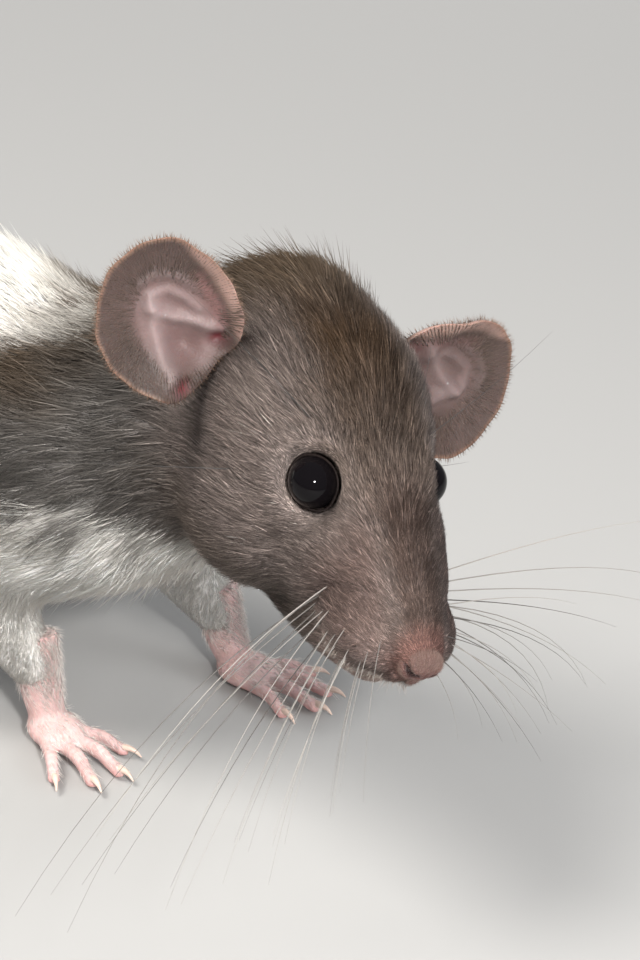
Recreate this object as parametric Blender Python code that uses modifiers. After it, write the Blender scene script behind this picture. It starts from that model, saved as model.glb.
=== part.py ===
"""Dumbo rat standing on all four feet with its head turned to its right, at life size.

+X is the way the body faces, +Y is the rat's left and +Z is up. The floor is z = 0.
The head has a frame of its own: x runs to the nose, y to its left and z to the crown, and its
origin is midway between the eyes. Everything is worked out in millimetres with the middle of
the chest over x = y = 0, and each finished mesh is then centred and brought to metres.
"""

import math
import random

import bmesh
import bpy
import numpy as np
from mathutils import Matrix, Vector

METRES_PER_MM = 0.001
GAP = 0.3  # left between two nodes that touch
RIGHT, LEFT = -1, 1
SIDE_NAMES = {RIGHT: "right", LEFT: "left"}

# Trunk stations, walked backwards from the middle of the chest: step, heading in degrees,
# height of the centre, half width and half height, all out to the tips of the coat.
TRUNK = (
    (0, -13, 32.5, 17.3, 17.5),
    (14, -8, 33.5, 19.8, 19.8),
    (16, -3, 35.5, 22.4, 22.4),
    (17, 1, 37.5, 24.6, 24.6),
    (17, 4, 38.3, 25.4, 25.4),
    (15, 7, 36.8, 24.2, 24.4),
    (12, 9, 33.5, 19.0, 20.5),
    (9, 10, 28.5, 12.0, 13.5),
    (7, 10, 23.5, 6.4, 7.0),
)
CHEST_BACK, BELLY_BACK = 24.0, 62.0  # where the chest and the belly end, behind the chest's middle
# Neck stations, walked forwards from the same place.
NECK = (
    (9, -15, 37.0, 16.0, 16.8),
    (9, -20, 42.5, 14.4, 15.4),
    (7, -28, 48.0, 12.8, 14.0),
)
NECK_RISE = 30.0  # slope of the neck where it leaves the chest

# The head: where the point between the eyes stands, and how the head is turned.
HEAD_AT = (38.5, -22.5, 47.5)
HEAD_YAW, HEAD_DROP, HEAD_ROLL = -48.5, 18.0, -11.0
HEAD_REACH = {"centre": (2.0, 0, -3.0), "radii": (26.0, 24.0, 22.0)}
NECK_INSIDE_HEAD = (-14.0, 0.0, -3.0)

# Sections of the skull, cheeks and snout in the head's frame: x, top, bottom and half width.
HEAD_SECTIONS = (
    (-30.0, 8.2, -17.0, 11.6),
    (-23.0, 10.0, -17.0, 12.6),
    (-17.0, 11.0, -18.4, 13.7),
    (-11.0, 10.6, -18.8, 13.7),
    (-5.0, 9.0, -18.2, 12.4),
    (0.0, 7.2, -16.8, 10.4),
    (4.5, 5.2, -15.2, 8.9),
    (9.0, 2.7, -13.6, 7.6),
    (13.5, 0.2, -12.2, 6.3),
    (17.0, -1.9, -10.7, 5.0),
    (19.6, -3.7, -9.6, 3.7),
    (21.0, -5.0, -8.4, 2.1),
)
CHEEK = {"centre": (-8.0, 7.4, -9.8), "radii": (11.2, 6.3, 9.3)}
BROW = {"centre": (-1.0, 5.1, 3.6), "radii": (6.5, 2.6, 2.3)}
UPPER_LIP = {"centre": (18.6, 1.7, -8.6), "radii": (2.2, 1.9, 2.0)}
WHISKER_PAD = {"centre": (13.6, 4.4, -7.8), "radii": (5.6, 3.1, 3.7)}
JAW_LINE = (  # points along the lower jaw, and its radius at each
    (17.2, 0, -11.0, 1.4),
    (15.2, 0, -11.9, 2.6),
    (10.0, 0, -13.2, 4.0),
    (2.0, 0, -14.0, 5.8),
    (-8.0, 0, -13.0, 6.8),
)
JAW_REACH = {"centre": (11.0, 0, -16.0), "radii": (10.5, 6.5, 5.0)}

EYE_AT = (0.3, 7.0, 0.3)
EYE_RADIUS = 3.1
EYE_GAZE = (0.46, 0.76, 0.46)
LID_OUT, LID_RADIUS = 0.4, 0.5
ORBIT_OUT, ORBIT_RADIUS = 3.3, 4.6  # the dip round each eye, where the coat parts

NOSE = {"centre": (20.7, 0, -6.2), "radii": (1.6, 2.4, 2.0)}
NOSE_REACH = {"centre": (20.9, 0, -6.4), "radii": (2.1, 3.0, 2.6)}
NOSTRIL_LINE = ((23.4, 0.7, -7.2), (22.3, 0.95, -6.7), (21.9, 1.6, -6.0), (21.5, 2.7, -5.8))
NOSTRIL_RADIUS = 0.42

# Ears: where the cup's middle is, which way it opens and which way its free edge points.
EAR_THICKNESS = 0.85
EAR_STRETCH = 0.3  # how much longer the cup is towards the head
EAR_ROOT = (-14.5, 11.3, 1.5)
EAR_POSES = {
    RIGHT: {
        "middle": (-18.0, -19.7, 6.4),
        "opens": (0.82, -0.36, 0.36),
        "tip": (-0.5, -0.8, 0.5),
        "radius": 8.1,
    },
    LEFT: {
        "middle": (-15.0, 20.3, -0.5),
        "opens": (0.93, 0.20, 0.30),
        "tip": (0.0, 0.95, -0.25),
        "radius": 8.7,
    },
}
EAR_SPOKES, EAR_RINGS = 22, 5

# Limbs: where each paw stands and which way it points, in degrees.
FORE_LIMBS = {
    RIGHT: {"at": (0.5, -11.0), "turn": -36, "shoulder": (3.0, -12.5, 33.0)},
    LEFT: {"at": (17.0, 9.5), "turn": -8, "shoulder": (6.0, 9.0, 33.0)},
}
HIND_LIMBS = {
    RIGHT: {"at": (-74.0, -18.5), "turn": -10},
    LEFT: {"at": (-84.0, 18.0), "turn": 10},
}
HIP_SPREAD, HIP_HEIGHT = 16.5, 30.0
WRIST_HEIGHT, ANKLE_HEIGHT = 6.5, 8.0
WRIST_RADIUS, ANKLE_RADIUS = 2.75, 3.2

# Toes: where each leaves the palm or the sole, its angle, its length and its radius.
FORE_TOES = (
    (5.2, 2.7, 30, 5.6, 0.85),
    (6.8, 1.1, 9, 6.9, 0.92),
    (6.8, -0.9, -8, 7.0, 0.92),
    (5.6, -2.6, -28, 5.9, 0.85),
)
HIND_TOES = (
    (16.0, 4.0, 26, 6.2, 1.0),
    (20.6, 2.8, 11, 9.0, 1.1),
    (21.6, 0.5, 1, 9.6, 1.1),
    (21.0, -1.8, -8, 9.2, 1.1),
    (16.6, -3.6, -24, 6.8, 1.0),
)
CLAW_LENGTH, CLAW_TIP = 2.0, 0.14

TAIL_LENGTH, TAIL_PARTS = 164.0, 4
TAIL_ROOT_RADIUS, TAIL_TIP_RADIUS = 4.6, 0.85
TAIL_DROP = 46.0  # length over which the tail comes down to the floor
TAIL_SWING = 40.0  # how far it swings from side to side, in degrees
TAIL_SIDES, TAIL_STEP = 10, 5.0

WHISKER_ROWS, WHISKERS_IN_ROW = 4, 3
WHISKER_LONGEST, WHISKER_SHORTEST = 43.0, 20.0
WHISKER_ROOT_RADIUS, WHISKER_TIP_RADIUS = 0.3, 0.08
WHISKER_WAYS = {
    RIGHT: {"rear": (0.18, -0.76, -0.60), "front": (0.55, -0.45, -0.70)},
    LEFT: {"rear": (-0.08, 0.96, -0.20), "front": (0.30, 0.80, -0.50)},
}

# How finely the forms are blended, and how many triangles are kept.
BODY_VOXEL, BODY_TRIANGLES = 0.75, 3800
PAW_VOXEL, PAW_TRIANGLES = 0.36, 330

FINISHES = {
    "hood": {"colour": (0.105, 0.080, 0.066, 1), "roughness": 0.65},
    "white": {"colour": (0.62, 0.58, 0.54, 1), "roughness": 0.65},
    "skin": {"colour": (0.52, 0.30, 0.28, 1), "roughness": 0.5},
    "ear": {"colour": (0.26, 0.15, 0.14, 1), "roughness": 0.55},
    "eye": {"colour": (0.006, 0.005, 0.006, 1), "roughness": 0.05},
    "tail": {"colour": (0.36, 0.25, 0.23, 1), "roughness": 0.6},
}


# Scene and meshes


def start_scene():
    for obj in list(bpy.data.objects):
        bpy.data.objects.remove(obj, do_unlink=True)
    parts = bpy.data.collections.new("dumbo_rat")
    cutters = bpy.data.collections.new("cutters")
    cutters.hide_render = True
    bpy.context.scene.collection.children.link(parts)
    bpy.context.scene.collection.children.link(cutters)
    return parts, cutters


def new_object(name, form, collection):
    """Makes an object from a closed bmesh, with its faces pointing out."""
    form.normal_update()
    bmesh.ops.recalc_face_normals(form, faces=form.faces[:])
    mesh = bpy.data.meshes.new(name)
    form.to_mesh(mesh)
    form.free()
    obj = bpy.data.objects.new(name, mesh)
    collection.objects.link(obj)
    return obj


def evaluated_mesh(obj):
    bpy.context.view_layer.update()
    graph = bpy.context.evaluated_depsgraph_get()
    return bpy.data.meshes.new_from_object(obj.evaluated_get(graph))


def apply_modifiers(obj):
    mesh = evaluated_mesh(obj)
    obj.modifiers.clear()
    before = obj.data
    obj.data = mesh
    bpy.data.meshes.remove(before)


def from_primitive(add, **settings):
    """A bmesh of one of Blender's primitives."""
    add(**settings)
    obj = bpy.context.active_object
    mesh = obj.data
    form = bmesh.new()
    form.from_mesh(mesh)
    bpy.data.objects.remove(obj)
    bpy.data.meshes.remove(mesh)
    return form


def ball(centre, radii, turn=None, segments=20):
    """A sphere stretched to three radii, turned and put at its centre."""
    form = bmesh.new()
    bmesh.ops.create_uvsphere(form, u_segments=segments, v_segments=segments // 2 + 2, radius=1)
    turn = (turn or Matrix()).to_4x4()
    form.transform(Matrix.Translation(centre) @ turn @ Matrix.Diagonal((*radii, 1)))
    return form


def block(centre, sizes, turn=None):
    form = bmesh.new()
    bmesh.ops.create_cube(form, size=1)
    turn = (turn or Matrix()).to_4x4()
    form.transform(Matrix.Translation(centre) @ turn @ Matrix.Diagonal((*sizes, 1)))
    return form


def tube(points, radii, sides=3, smooth=4):
    """A round tube through a few points with a radius at each, closed at its ends."""
    curve = bpy.data.curves.new("tube", "CURVE")
    curve.dimensions = "3D"
    curve.bevel_depth = 1.0
    curve.bevel_resolution = sides
    curve.resolution_u = smooth
    curve.use_fill_caps = True
    spline = curve.splines.new("BEZIER")
    spline.radius_interpolation = "CARDINAL"
    spline.bezier_points.add(len(points) - 1)
    for knot, point, radius in zip(spline.bezier_points, points, radii):
        knot.handle_left_type = "AUTO"
        knot.handle_right_type = "AUTO"
        knot.co = point
        knot.radius = radius
    obj = bpy.data.objects.new("tube", curve)
    bpy.context.scene.collection.objects.link(obj)
    mesh = evaluated_mesh(obj)
    form = bmesh.new()
    form.from_mesh(mesh)
    bmesh.ops.remove_doubles(form, verts=form.verts[:], dist=0.001)
    bpy.data.objects.remove(obj)
    bpy.data.curves.remove(curve)
    bpy.data.meshes.remove(mesh)
    return form


def loft(rings):
    """A closed form through rings of points."""
    form = bmesh.new()
    rows = [[form.verts.new(point) for point in ring] for ring in rings]
    count = len(rows[0])
    for near, far in zip(rows, rows[1:]):
        for i in range(count):
            j = (i + 1) % count
            form.faces.new((near[i], near[j], far[j], far[i]))
    form.faces.new(rows[0][::-1])
    form.faces.new(rows[-1])
    return form


def oval(centre, side, up, half_width, half_height, count, power=1.0):
    """A ring of points round a centre. A power under 1 makes it fuller than an ellipse."""
    points = []
    for i in range(count):
        angle = 2 * math.pi * (i + 0.5) / count
        c, s = math.cos(angle), math.sin(angle)
        across = math.copysign(abs(c) ** power, c) * half_width
        above = math.copysign(abs(s) ** power, s) * half_height
        points.append(Vector(centre) + side * across + up * above)
    return points


def sweep(path, half_widths, half_heights, count, power=1.0):
    """A tube of oval sections along a path."""
    path = [Vector(point) for point in path]
    rings = []
    for i, point in enumerate(path):
        along = (path[min(i + 1, len(path) - 1)] - path[max(i - 1, 0)]).normalized()
        side = Vector((0, 0, 1)).cross(along).normalized()
        rings.append(oval(point, side, along.cross(side), half_widths[i], half_heights[i], count, power))
    return loft(rings)


def smoothed(stations, steps):
    """Rows of numbers on a smooth curve through the stations, with a few steps between each two."""
    data = np.array(stations, float)
    data = np.vstack([2 * data[0] - data[1], data, 2 * data[-1] - data[-2]])
    rows = []
    for a, b, c, d in zip(data, data[1:], data[2:], data[3:]):
        for t in np.arange(steps) / steps:
            linear = (c - a) * t
            square = (2 * a - 5 * b + 4 * c - d) * t**2
            cube = (3 * b - a - 3 * c + d) * t**3
            rows.append(b + 0.5 * (linear + square + cube))
    rows.append(data[-2])
    return np.array(rows)


# Blending, cutting and joining


def keep_largest(obj):
    """Keeps the largest closed surface of a mesh and drops any other."""
    form = bmesh.new()
    form.from_mesh(obj.data)
    bmesh.ops.dissolve_degenerate(form, dist=1e-5, edges=form.edges[:])
    waiting = set(form.verts)
    surfaces = []
    while waiting:
        front = [waiting.pop()]
        surface = set(front)
        while front:
            for edge in front.pop().link_edges:
                for vert in edge.verts:
                    if vert in waiting:
                        waiting.discard(vert)
                        surface.add(vert)
                        front.append(vert)
        surfaces.append(surface)
    surfaces.sort(key=len, reverse=True)
    loose = [vert for surface in surfaces[1:] for vert in surface]
    bmesh.ops.delete(form, geom=loose, context="VERTS")
    form.to_mesh(obj.data)
    form.free()


def relax(mesh, steps, weight_at):
    """Moves each point towards the mean of its neighbours, by a weight read from where it is."""
    points = np.empty(len(mesh.vertices) * 3)
    mesh.vertices.foreach_get("co", points)
    points = points.reshape(-1, 3)
    ends = np.empty(len(mesh.edges) * 2, int)
    mesh.edges.foreach_get("vertices", ends)
    a, b = ends.reshape(-1, 2).T
    total = len(points)
    count = np.bincount(ends, minlength=total)[:, None]
    weight = weight_at(points)[:, None]
    for _ in range(steps):
        sums = np.empty_like(points)
        for axis in range(3):
            sums[:, axis] = np.bincount(a, points[b, axis], total) + np.bincount(b, points[a, axis], total)
        points += (sums / count - points) * weight
    mesh.vertices.foreach_set("co", points.ravel())
    mesh.update()


def blended(name, forms, voxel, steps, weight_at, triangles, collection):
    """Fuses overlapping forms into one skin, softens its creases and thins it."""
    whole = bmesh.new()
    for form in forms:
        form.normal_update()
        bmesh.ops.recalc_face_normals(form, faces=form.faces[:])
        mesh = bpy.data.meshes.new("form")
        form.to_mesh(mesh)
        form.free()
        whole.from_mesh(mesh)
        bpy.data.meshes.remove(mesh)
    mesh = bpy.data.meshes.new(name)
    whole.to_mesh(mesh)
    whole.free()
    obj = bpy.data.objects.new(name, mesh)
    collection.objects.link(obj)
    fuse = obj.modifiers.new("fuse", "REMESH")
    fuse.mode = "VOXEL"
    fuse.voxel_size = voxel
    apply_modifiers(obj)
    relax(obj.data, steps, weight_at)
    thin = obj.modifiers.new("thin", "DECIMATE")
    thin.ratio = triangles / (2 * len(obj.data.polygons))
    thin.use_collapse_triangulate = True
    apply_modifiers(obj)
    keep_largest(obj)
    return obj


def cut(obj, form, operation, cutters):
    """Applies one Boolean between an object and a closed form."""
    cutter = new_object("cutter", form, cutters)
    cutter.hide_render = True
    cutter.display_type = "WIRE"
    modifier = obj.modifiers.new("cut", "BOOLEAN")
    modifier.operation = operation
    modifier.use_self = True
    modifier.object = cutter
    apply_modifiers(obj)
    mesh = cutter.data
    bpy.data.objects.remove(cutter)
    bpy.data.meshes.remove(mesh)
    keep_largest(obj)


def part_off(whole, name, region, parts, cutters):
    """Makes a node of what lies in a region, and takes it and the gap out of the whole.

    region(grow) is the region's closed form, grown by some millimetres."""
    piece = bpy.data.objects.new(name, whole.data.copy())
    parts.objects.link(piece)
    cut(piece, region(0), "INTERSECT", cutters)
    cut(whole, region(GAP), "DIFFERENCE", cutters)
    return piece


def unite(obj, forms):
    """Joins closed forms to an object by one Boolean union on their collection."""
    group = bpy.data.collections.new("forms")
    bpy.context.scene.collection.children.link(group)
    for form in forms:
        new_object("form", form, group)
    modifier = obj.modifiers.new("unite", "BOOLEAN")
    modifier.operation = "UNION"
    modifier.operand_type = "COLLECTION"
    modifier.collection = group
    apply_modifiers(obj)
    for piece in list(group.objects):
        bpy.data.objects.remove(piece)
    bpy.data.collections.remove(group)
    keep_largest(obj)


def grown(obj, distance):
    """A closed form of an object pushed out along its normals."""
    form = bmesh.new()
    form.from_mesh(obj.data)
    form.normal_update()
    for vert in form.verts:
        vert.co += vert.normal * distance
    return form


def finish(obj, name):
    """Gives a node its material and its shading."""
    material = bpy.data.materials.new(obj.name)
    material.use_nodes = True
    shader = material.node_tree.nodes["Principled BSDF"]
    shader.inputs["Base Color"].default_value = FINISHES[name]["colour"]
    shader.inputs["Roughness"].default_value = FINISHES[name]["roughness"]
    shader.inputs["Metallic"].default_value = 0.0
    obj.data.materials.clear()
    obj.data.materials.append(material)
    obj.data.shade_smooth()
    obj.data.set_sharp_from_angle(angle=math.radians(50))


# Places


def head_turn():
    return (
        Matrix.Rotation(math.radians(HEAD_YAW), 4, "Z")
        @ Matrix.Rotation(math.radians(HEAD_DROP), 4, "Y")
        @ Matrix.Rotation(math.radians(HEAD_ROLL), 4, "X")
    )


def head_matrix():
    return Matrix.Translation(HEAD_AT) @ head_turn()


def on_head(form):
    form.transform(head_matrix())
    return form


def to_side(point, side):
    return Vector((point[0], point[1] * side, point[2]))


def sized_ball(place, side=LEFT, grow=0.0, segments=20):
    """The ball that a centre and three radii describe, on one side of the head."""
    radii = [radius + grow for radius in place["radii"]]
    return ball(to_side(place["centre"], side), radii, segments=segments)


def walk(stations, way):
    """Turns steps and headings into points in plan, with the rest of each station kept."""
    x = y = 0.0
    found = []
    for step, heading, *rest in stations:
        angle = math.radians(heading)
        x += way * step * math.cos(angle)
        y += way * step * math.sin(angle)
        found.append((x, y, *rest))
    return found


def level_turn(degrees):
    return Matrix.Rotation(math.radians(degrees), 4, "Z")


def turn_to(way):
    return Vector((0, 0, 1)).rotation_difference(Vector(way)).to_matrix().to_4x4()


# Forms that are blended into the body


def trunk_form():
    """The trunk and the neck as one tube, from the tail's root to inside the head."""
    stations = walk(TRUNK, -1)[::-1] + walk(NECK, 1)
    stations.append((*(head_matrix() @ Vector(NECK_INSIDE_HEAD)), 12.2, 12.6))
    rows = smoothed(stations, 4)
    path = [row[:3] for row in rows]
    beyond = Vector(path[0]) * 2 - Vector(path[2])
    return sweep([beyond] + path, [rows[0][3], *rows[:, 3]], [rows[0][4], *rows[:, 4]], 32, 0.94)


def head_forms():
    """Skull and snout, cheeks, brows, whisker pads, lips and lower jaw."""
    side_way, up = Vector((0, 1, 0)), Vector((0, 0, 1))
    rings = []
    for x, top, bottom, half in smoothed(HEAD_SECTIONS, 3):
        rings.append(oval((x, 0, (top + bottom) / 2), side_way, up, half, (top - bottom) / 2, 32, 0.92))
    forms = [loft(rings), sized_ball(NOSE)]
    for side in (RIGHT, LEFT):
        for place in (CHEEK, BROW, UPPER_LIP, WHISKER_PAD):
            forms.append(sized_ball(place, side))
    forms.append(tube([row[:3] for row in JAW_LINE], [row[3] for row in JAW_LINE]))
    return [on_head(form) for form in forms]


def fore_limb_forms(side):
    """Shoulder, upper arm and forearm, down past the wrist."""
    x, y = FORE_LIMBS[side]["at"]
    shoulder = Vector(FORE_LIMBS[side]["shoulder"])
    elbow = Vector((x - 8.5, y + side * 0.8, 17.0))
    forearm = [elbow, Vector((x - 3.2, y, 11.5)), Vector((x, y, WRIST_HEIGHT)), Vector((x + 0.8, y, 2.5))]
    muscle = Matrix.Rotation(math.radians(-28), 3, "Y")
    return [
        ball(shoulder, (11.5, 6.8, 14.0), muscle),
        tube([shoulder, elbow], [8.2, 5.6]),
        ball(elbow, (5.8, 5.4, 6.0)),
        tube(forearm, [5.4, 4.0, WRIST_RADIUS, WRIST_RADIUS]),
    ]


def hind_limb_forms(side):
    """Haunch, thigh and shank, down past the ankle."""
    x, y = HIND_LIMBS[side]["at"]
    ahead = level_turn(HIND_LIMBS[side]["turn"]) @ Vector((1, 0, 0))
    heel = Vector((x, y, 0))
    hip = Vector((x + 8.0, side * HIP_SPREAD, HIP_HEIGHT))
    knee = heel + ahead * 22 + Vector((0, side * 1.0, 17.0))
    ankle = heel + ahead * 1.6 + Vector((0, 0, ANKLE_HEIGHT))
    shank = [knee, heel + ahead * 9 + Vector((0, 0, 13.5)), ankle, ankle - Vector((0, 0, 4))]
    haunch = Matrix.Rotation(math.radians(24), 3, "Y")
    return [
        ball(hip, (19.0, 9.8, 18.5), haunch),
        tube([hip + Vector((4, 0, -4)), knee], [11.0, 7.8]),
        ball(knee, (8.0, 7.0, 7.8)),
        tube(shank, [7.4, 6.0, ANKLE_RADIUS, ANKLE_RADIUS]),
    ]


def blend_weight(points):
    """How much each point is softened: fully on the trunk, a little on the face and low on the limbs."""
    inverse = np.array(head_matrix().inverted())
    local = points @ inverse[:3, :3].T + inverse[:3, 3]
    limbs = np.clip((points[:, 2] - 9) / 12, 0.05, 1)
    face = np.clip((-local[:, 0] - 9) / 10, 0.06, 1)
    on_face = np.linalg.norm(local - np.array([0, 0, -3]), axis=1) < 36
    return 0.6 * np.where(on_face, np.minimum(limbs, face), limbs)


def body(cutters):
    forms = [trunk_form()] + head_forms()
    for side in (RIGHT, LEFT):
        forms += fore_limb_forms(side) + hind_limb_forms(side)
    return blended("body", forms, BODY_VOXEL, 26, blend_weight, BODY_TRIANGLES, cutters)


# Regions that divide the body


def head_region(grow):
    return on_head(sized_ball(HEAD_REACH, grow=grow, segments=20))


def neck_region(grow):
    """All that lies ahead of the plane where the neck leaves the chest."""
    x, y, z = walk(NECK, 1)[0][:3]
    turn = level_turn(NECK[1][1]) @ Matrix.Rotation(math.radians(-NECK_RISE), 4, "Y")
    return block(Vector((x, y, z)) + turn @ Vector((20 - grow / 2, 0, 0)), (40 + grow, 80, 70), turn)


def ahead_of(distance):
    """A region of the trunk: all that lies ahead of a distance behind the chest's middle."""
    reached = np.cumsum([station[0] for station in TRUNK])
    places = np.array([station[:2] for station in walk(TRUNK, -1)])
    x, y = [np.interp(distance, reached, places[:, axis]) for axis in (0, 1)]
    turn = level_turn(np.interp(distance, reached, [station[1] for station in TRUNK]))

    def region(grow):
        return block(Vector((x, y, 40)) + turn @ Vector((60 - grow / 2, 0, 0)), (120 + grow, 160, 120), turn)

    return region


def fore_leg_region(side):
    x, y = FORE_LIMBS[side]["at"]

    def region(grow):
        return ball((x - 6.5, y + side * 2.5, 12), (12 + grow, 8.5 + grow, 17 + grow))

    return region


def hind_leg_region(side):
    x, y = HIND_LIMBS[side]["at"]
    lean = Matrix.Rotation(math.radians(18), 3, "Y")

    def region(grow):
        return ball((x + 11, y + side * 4, 20), (24 + grow, 14 + grow, 23 + grow), lean)

    return region


# Paws


def toe_form(x, y, angle, length, radius):
    way = level_turn(angle) @ Vector((1, 0, 0))
    root = Vector((x, y, radius * 1.5))
    points = [
        root - way * 2.0,
        root + way * length * 0.4 + Vector((0, 0, radius * 0.55)),
        root + way * length * 0.75 - Vector((0, 0, radius * 0.3)),
        root + way * (length - radius * 0.6) - Vector((0, 0, radius * 0.55)),
        root + way * length - Vector((0, 0, radius * 0.6)),
    ]
    return tube(points, [radius * 1.15, radius, radius * 0.9, radius * 0.9, radius * 0.35], smooth=3)


def claw_form(x, y, angle, length, radius):
    way = level_turn(angle) @ Vector((1, 0, 0))
    root = Vector((x, y, radius * 1.25)) + way * (length - radius)
    path = [
        root,
        root + way * CLAW_LENGTH * 0.75 + Vector((0, 0, 0.2)),
        root + way * CLAW_LENGTH * 1.4 - Vector((0, 0, 0.5)),
    ]
    return tube(path, [radius * 0.55, radius * 0.42, CLAW_TIP], sides=0, smooth=2)


def fore_paw_forms():
    wrist = [(-0.7, 0, WRIST_HEIGHT + 3), (0.0, 0, WRIST_HEIGHT), (1.6, 0, 3.2)]
    palm = ball((3.4, 0, 1.9), (4.0, 3.3, 2.2))
    thumb = ball((1.6, 2.5, 1.4), (1.5, 1.2, 1.5))
    return [tube(wrist, [WRIST_RADIUS, WRIST_RADIUS, 2.4]), palm, thumb] + [toe_form(*toe) for toe in FORE_TOES]


def hind_paw_forms():
    ankle = [(2.4, 0, ANKLE_HEIGHT + 3), (1.6, 0, ANKLE_HEIGHT), (0.2, 0, 3.0)]
    sole = [(-0.6, 0, 2.6), (7, 0, 2.9), (14, 0, 2.8), (20, 0.2, 2.4), (22, 0.3, 2.2)]
    sole_form = tube(sole, [2.3, 2.8, 3.6, 4.1, 3.4])
    sole_form.transform(Matrix.Diagonal((1, 1, 0.72, 1)))
    heel = ball((-0.4, 0, 2.2), (2.4, 2.4, 2.4))
    ankle_form = tube(ankle, [ANKLE_RADIUS, ANKLE_RADIUS, 2.5])
    return [ankle_form, heel, sole_form] + [toe_form(*toe) for toe in HIND_TOES]


def paw(name, forms, toes, limb, height, parts, cutters):
    """A paw with its claws, flat where it stands on the floor and where it meets the leg."""
    obj = blended(name, forms, PAW_VOXEL, 4, lambda points: np.full(len(points), 0.5), PAW_TRIANGLES, parts)
    unite(obj, [claw_form(*toe) for toe in toes])
    x, y = limb["at"]
    obj.data.transform(Matrix.Translation((x, y, 0)) @ level_turn(limb["turn"]))
    cut(obj, block((x, y, height / 2), (120, 120, height)), "INTERSECT", cutters)
    return obj


def clear_paw(whole, limb, height, cutters):
    """Ends a leg flat, a gap above its paw."""
    x, y = limb["at"]
    cut(whole, block((x, y, (height + GAP) / 2 - 10), (44, 30, height + GAP + 20)), "DIFFERENCE", cutters)


# Head parts


def ear_depth(out, across):
    """How far the ear's inner face stands above its rim plane: out to the edge, across to the front."""
    spread = math.hypot(out, across)
    bowl = -2.3 * (1 - spread**2)
    canal = -1.8 * math.exp(-((out + 0.5) ** 2 + across**2) / 0.14)
    fold_at = math.hypot(out + 0.45, across * 1.1)
    fold = 0.8 * math.exp(-(((fold_at - 0.62) / 0.13) ** 2)) * max(0.0, 1 - spread**4)
    curl = 2.4 * max(0.0, -across - out * 0.35 - 0.4) ** 2 * spread**3
    return bowl + canal + fold + curl


def ear_form(side):
    """A thin cup with a rounded edge, a curled front rim and one fold."""
    pose = EAR_POSES[side]
    opens = Vector(pose["opens"]).normalized()
    tip = Vector(pose["tip"])
    tip = (tip - opens * tip.dot(opens)).normalized()
    front = tip.cross(opens) * side
    inner, outer = [], []
    for ring in range(1, EAR_RINGS + 1):
        share = (ring / EAR_RINGS) ** 0.8
        wall = EAR_THICKNESS * (1.0 if ring < EAR_RINGS else 0.45)
        near, far = [], []
        for spoke in range(EAR_SPOKES):
            angle = 2 * math.pi * spoke / EAR_SPOKES
            out, across = share * math.cos(angle), share * math.sin(angle)
            out *= 1 + EAR_STRETCH * max(0.0, -math.cos(angle)) ** 2
            place = Vector(pose["middle"]) + (tip * out + front * across) * pose["radius"]
            depth = ear_depth(out, across)
            near.append(place + opens * (depth - (EAR_THICKNESS - wall) / 2))
            far.append(place + opens * (depth - (EAR_THICKNESS + wall) / 2))
        inner.append(near)
        outer.append(far)
    return loft(inner + outer[::-1])


def ear(side, whole, parts, cutters):
    """An ear with its root, cut clear of the body."""
    pose = EAR_POSES[side]
    root = to_side(EAR_ROOT, side)
    opens = Vector(pose["opens"]).normalized()
    inside = root + Vector((1.5, -side * 6.0, -3.0)) - opens * 2.0
    base = root.lerp(Vector(pose["middle"]), 0.5) - opens * 5.2
    stalk = tube([inside, root - opens * 3.6, base], [4.0, 3.2, 2.0])
    obj = new_object(f"ear_{SIDE_NAMES[side]}", on_head(ear_form(side)), parts)
    unite(obj, [on_head(stalk)])
    cut(obj, grown(whole, GAP), "DIFFERENCE", cutters)
    return obj


def clear_orbit(side, head, cutters):
    """Dishes the head round an eye, so that the eye stands out of it."""
    gaze = to_side(EYE_GAZE, side).normalized()
    middle = to_side(EYE_AT, side) + gaze * ORBIT_OUT
    cut(head, on_head(ball(middle, [ORBIT_RADIUS] * 3, segments=20)), "DIFFERENCE", cutters)


def lid_form(side):
    """The rim of both lids, which stands round the eye."""
    gaze = to_side(EYE_GAZE, side).normalized()
    opening = math.sqrt((EYE_RADIUS + GAP) ** 2 - LID_OUT**2) + LID_RADIUS * 0.45
    ring = from_primitive(
        bpy.ops.mesh.primitive_torus_add,
        major_radius=opening,
        minor_radius=LID_RADIUS,
        major_segments=22,
        minor_segments=6,
    )
    ring.transform(Matrix.Translation(to_side(EYE_AT, side) + gaze * LID_OUT) @ turn_to(gaze))
    return on_head(ring)


def eye(side, head, parts, cutters):
    """A round eye in a socket that leaves the gap round it."""
    centre = to_side(EYE_AT, side)
    cut(head, on_head(ball(centre, [EYE_RADIUS + GAP] * 3, segments=20)), "DIFFERENCE", cutters)
    gaze = turn_to(to_side(EYE_GAZE, side).normalized())
    return new_object(f"eye_{SIDE_NAMES[side]}", on_head(ball(centre, [EYE_RADIUS] * 3, gaze, 16)), parts)


def nose(head, parts, cutters):
    """The bare tip of the snout with both nostrils, and the cleft below it."""
    obj = part_off(head, "nose", lambda grow: on_head(sized_ball(NOSE_REACH, grow=grow)), parts, cutters)
    for side in (RIGHT, LEFT):
        line = [to_side(point, side) for point in NOSTRIL_LINE]
        cut(obj, on_head(tube(line, [NOSTRIL_RADIUS] * len(line), sides=1)), "DIFFERENCE", cutters)
    cleft = block((20.4, 0, -9.6), (3.0, 0.4, 2.6))
    cut(head, on_head(cleft), "DIFFERENCE", cutters)
    return obj


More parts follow.
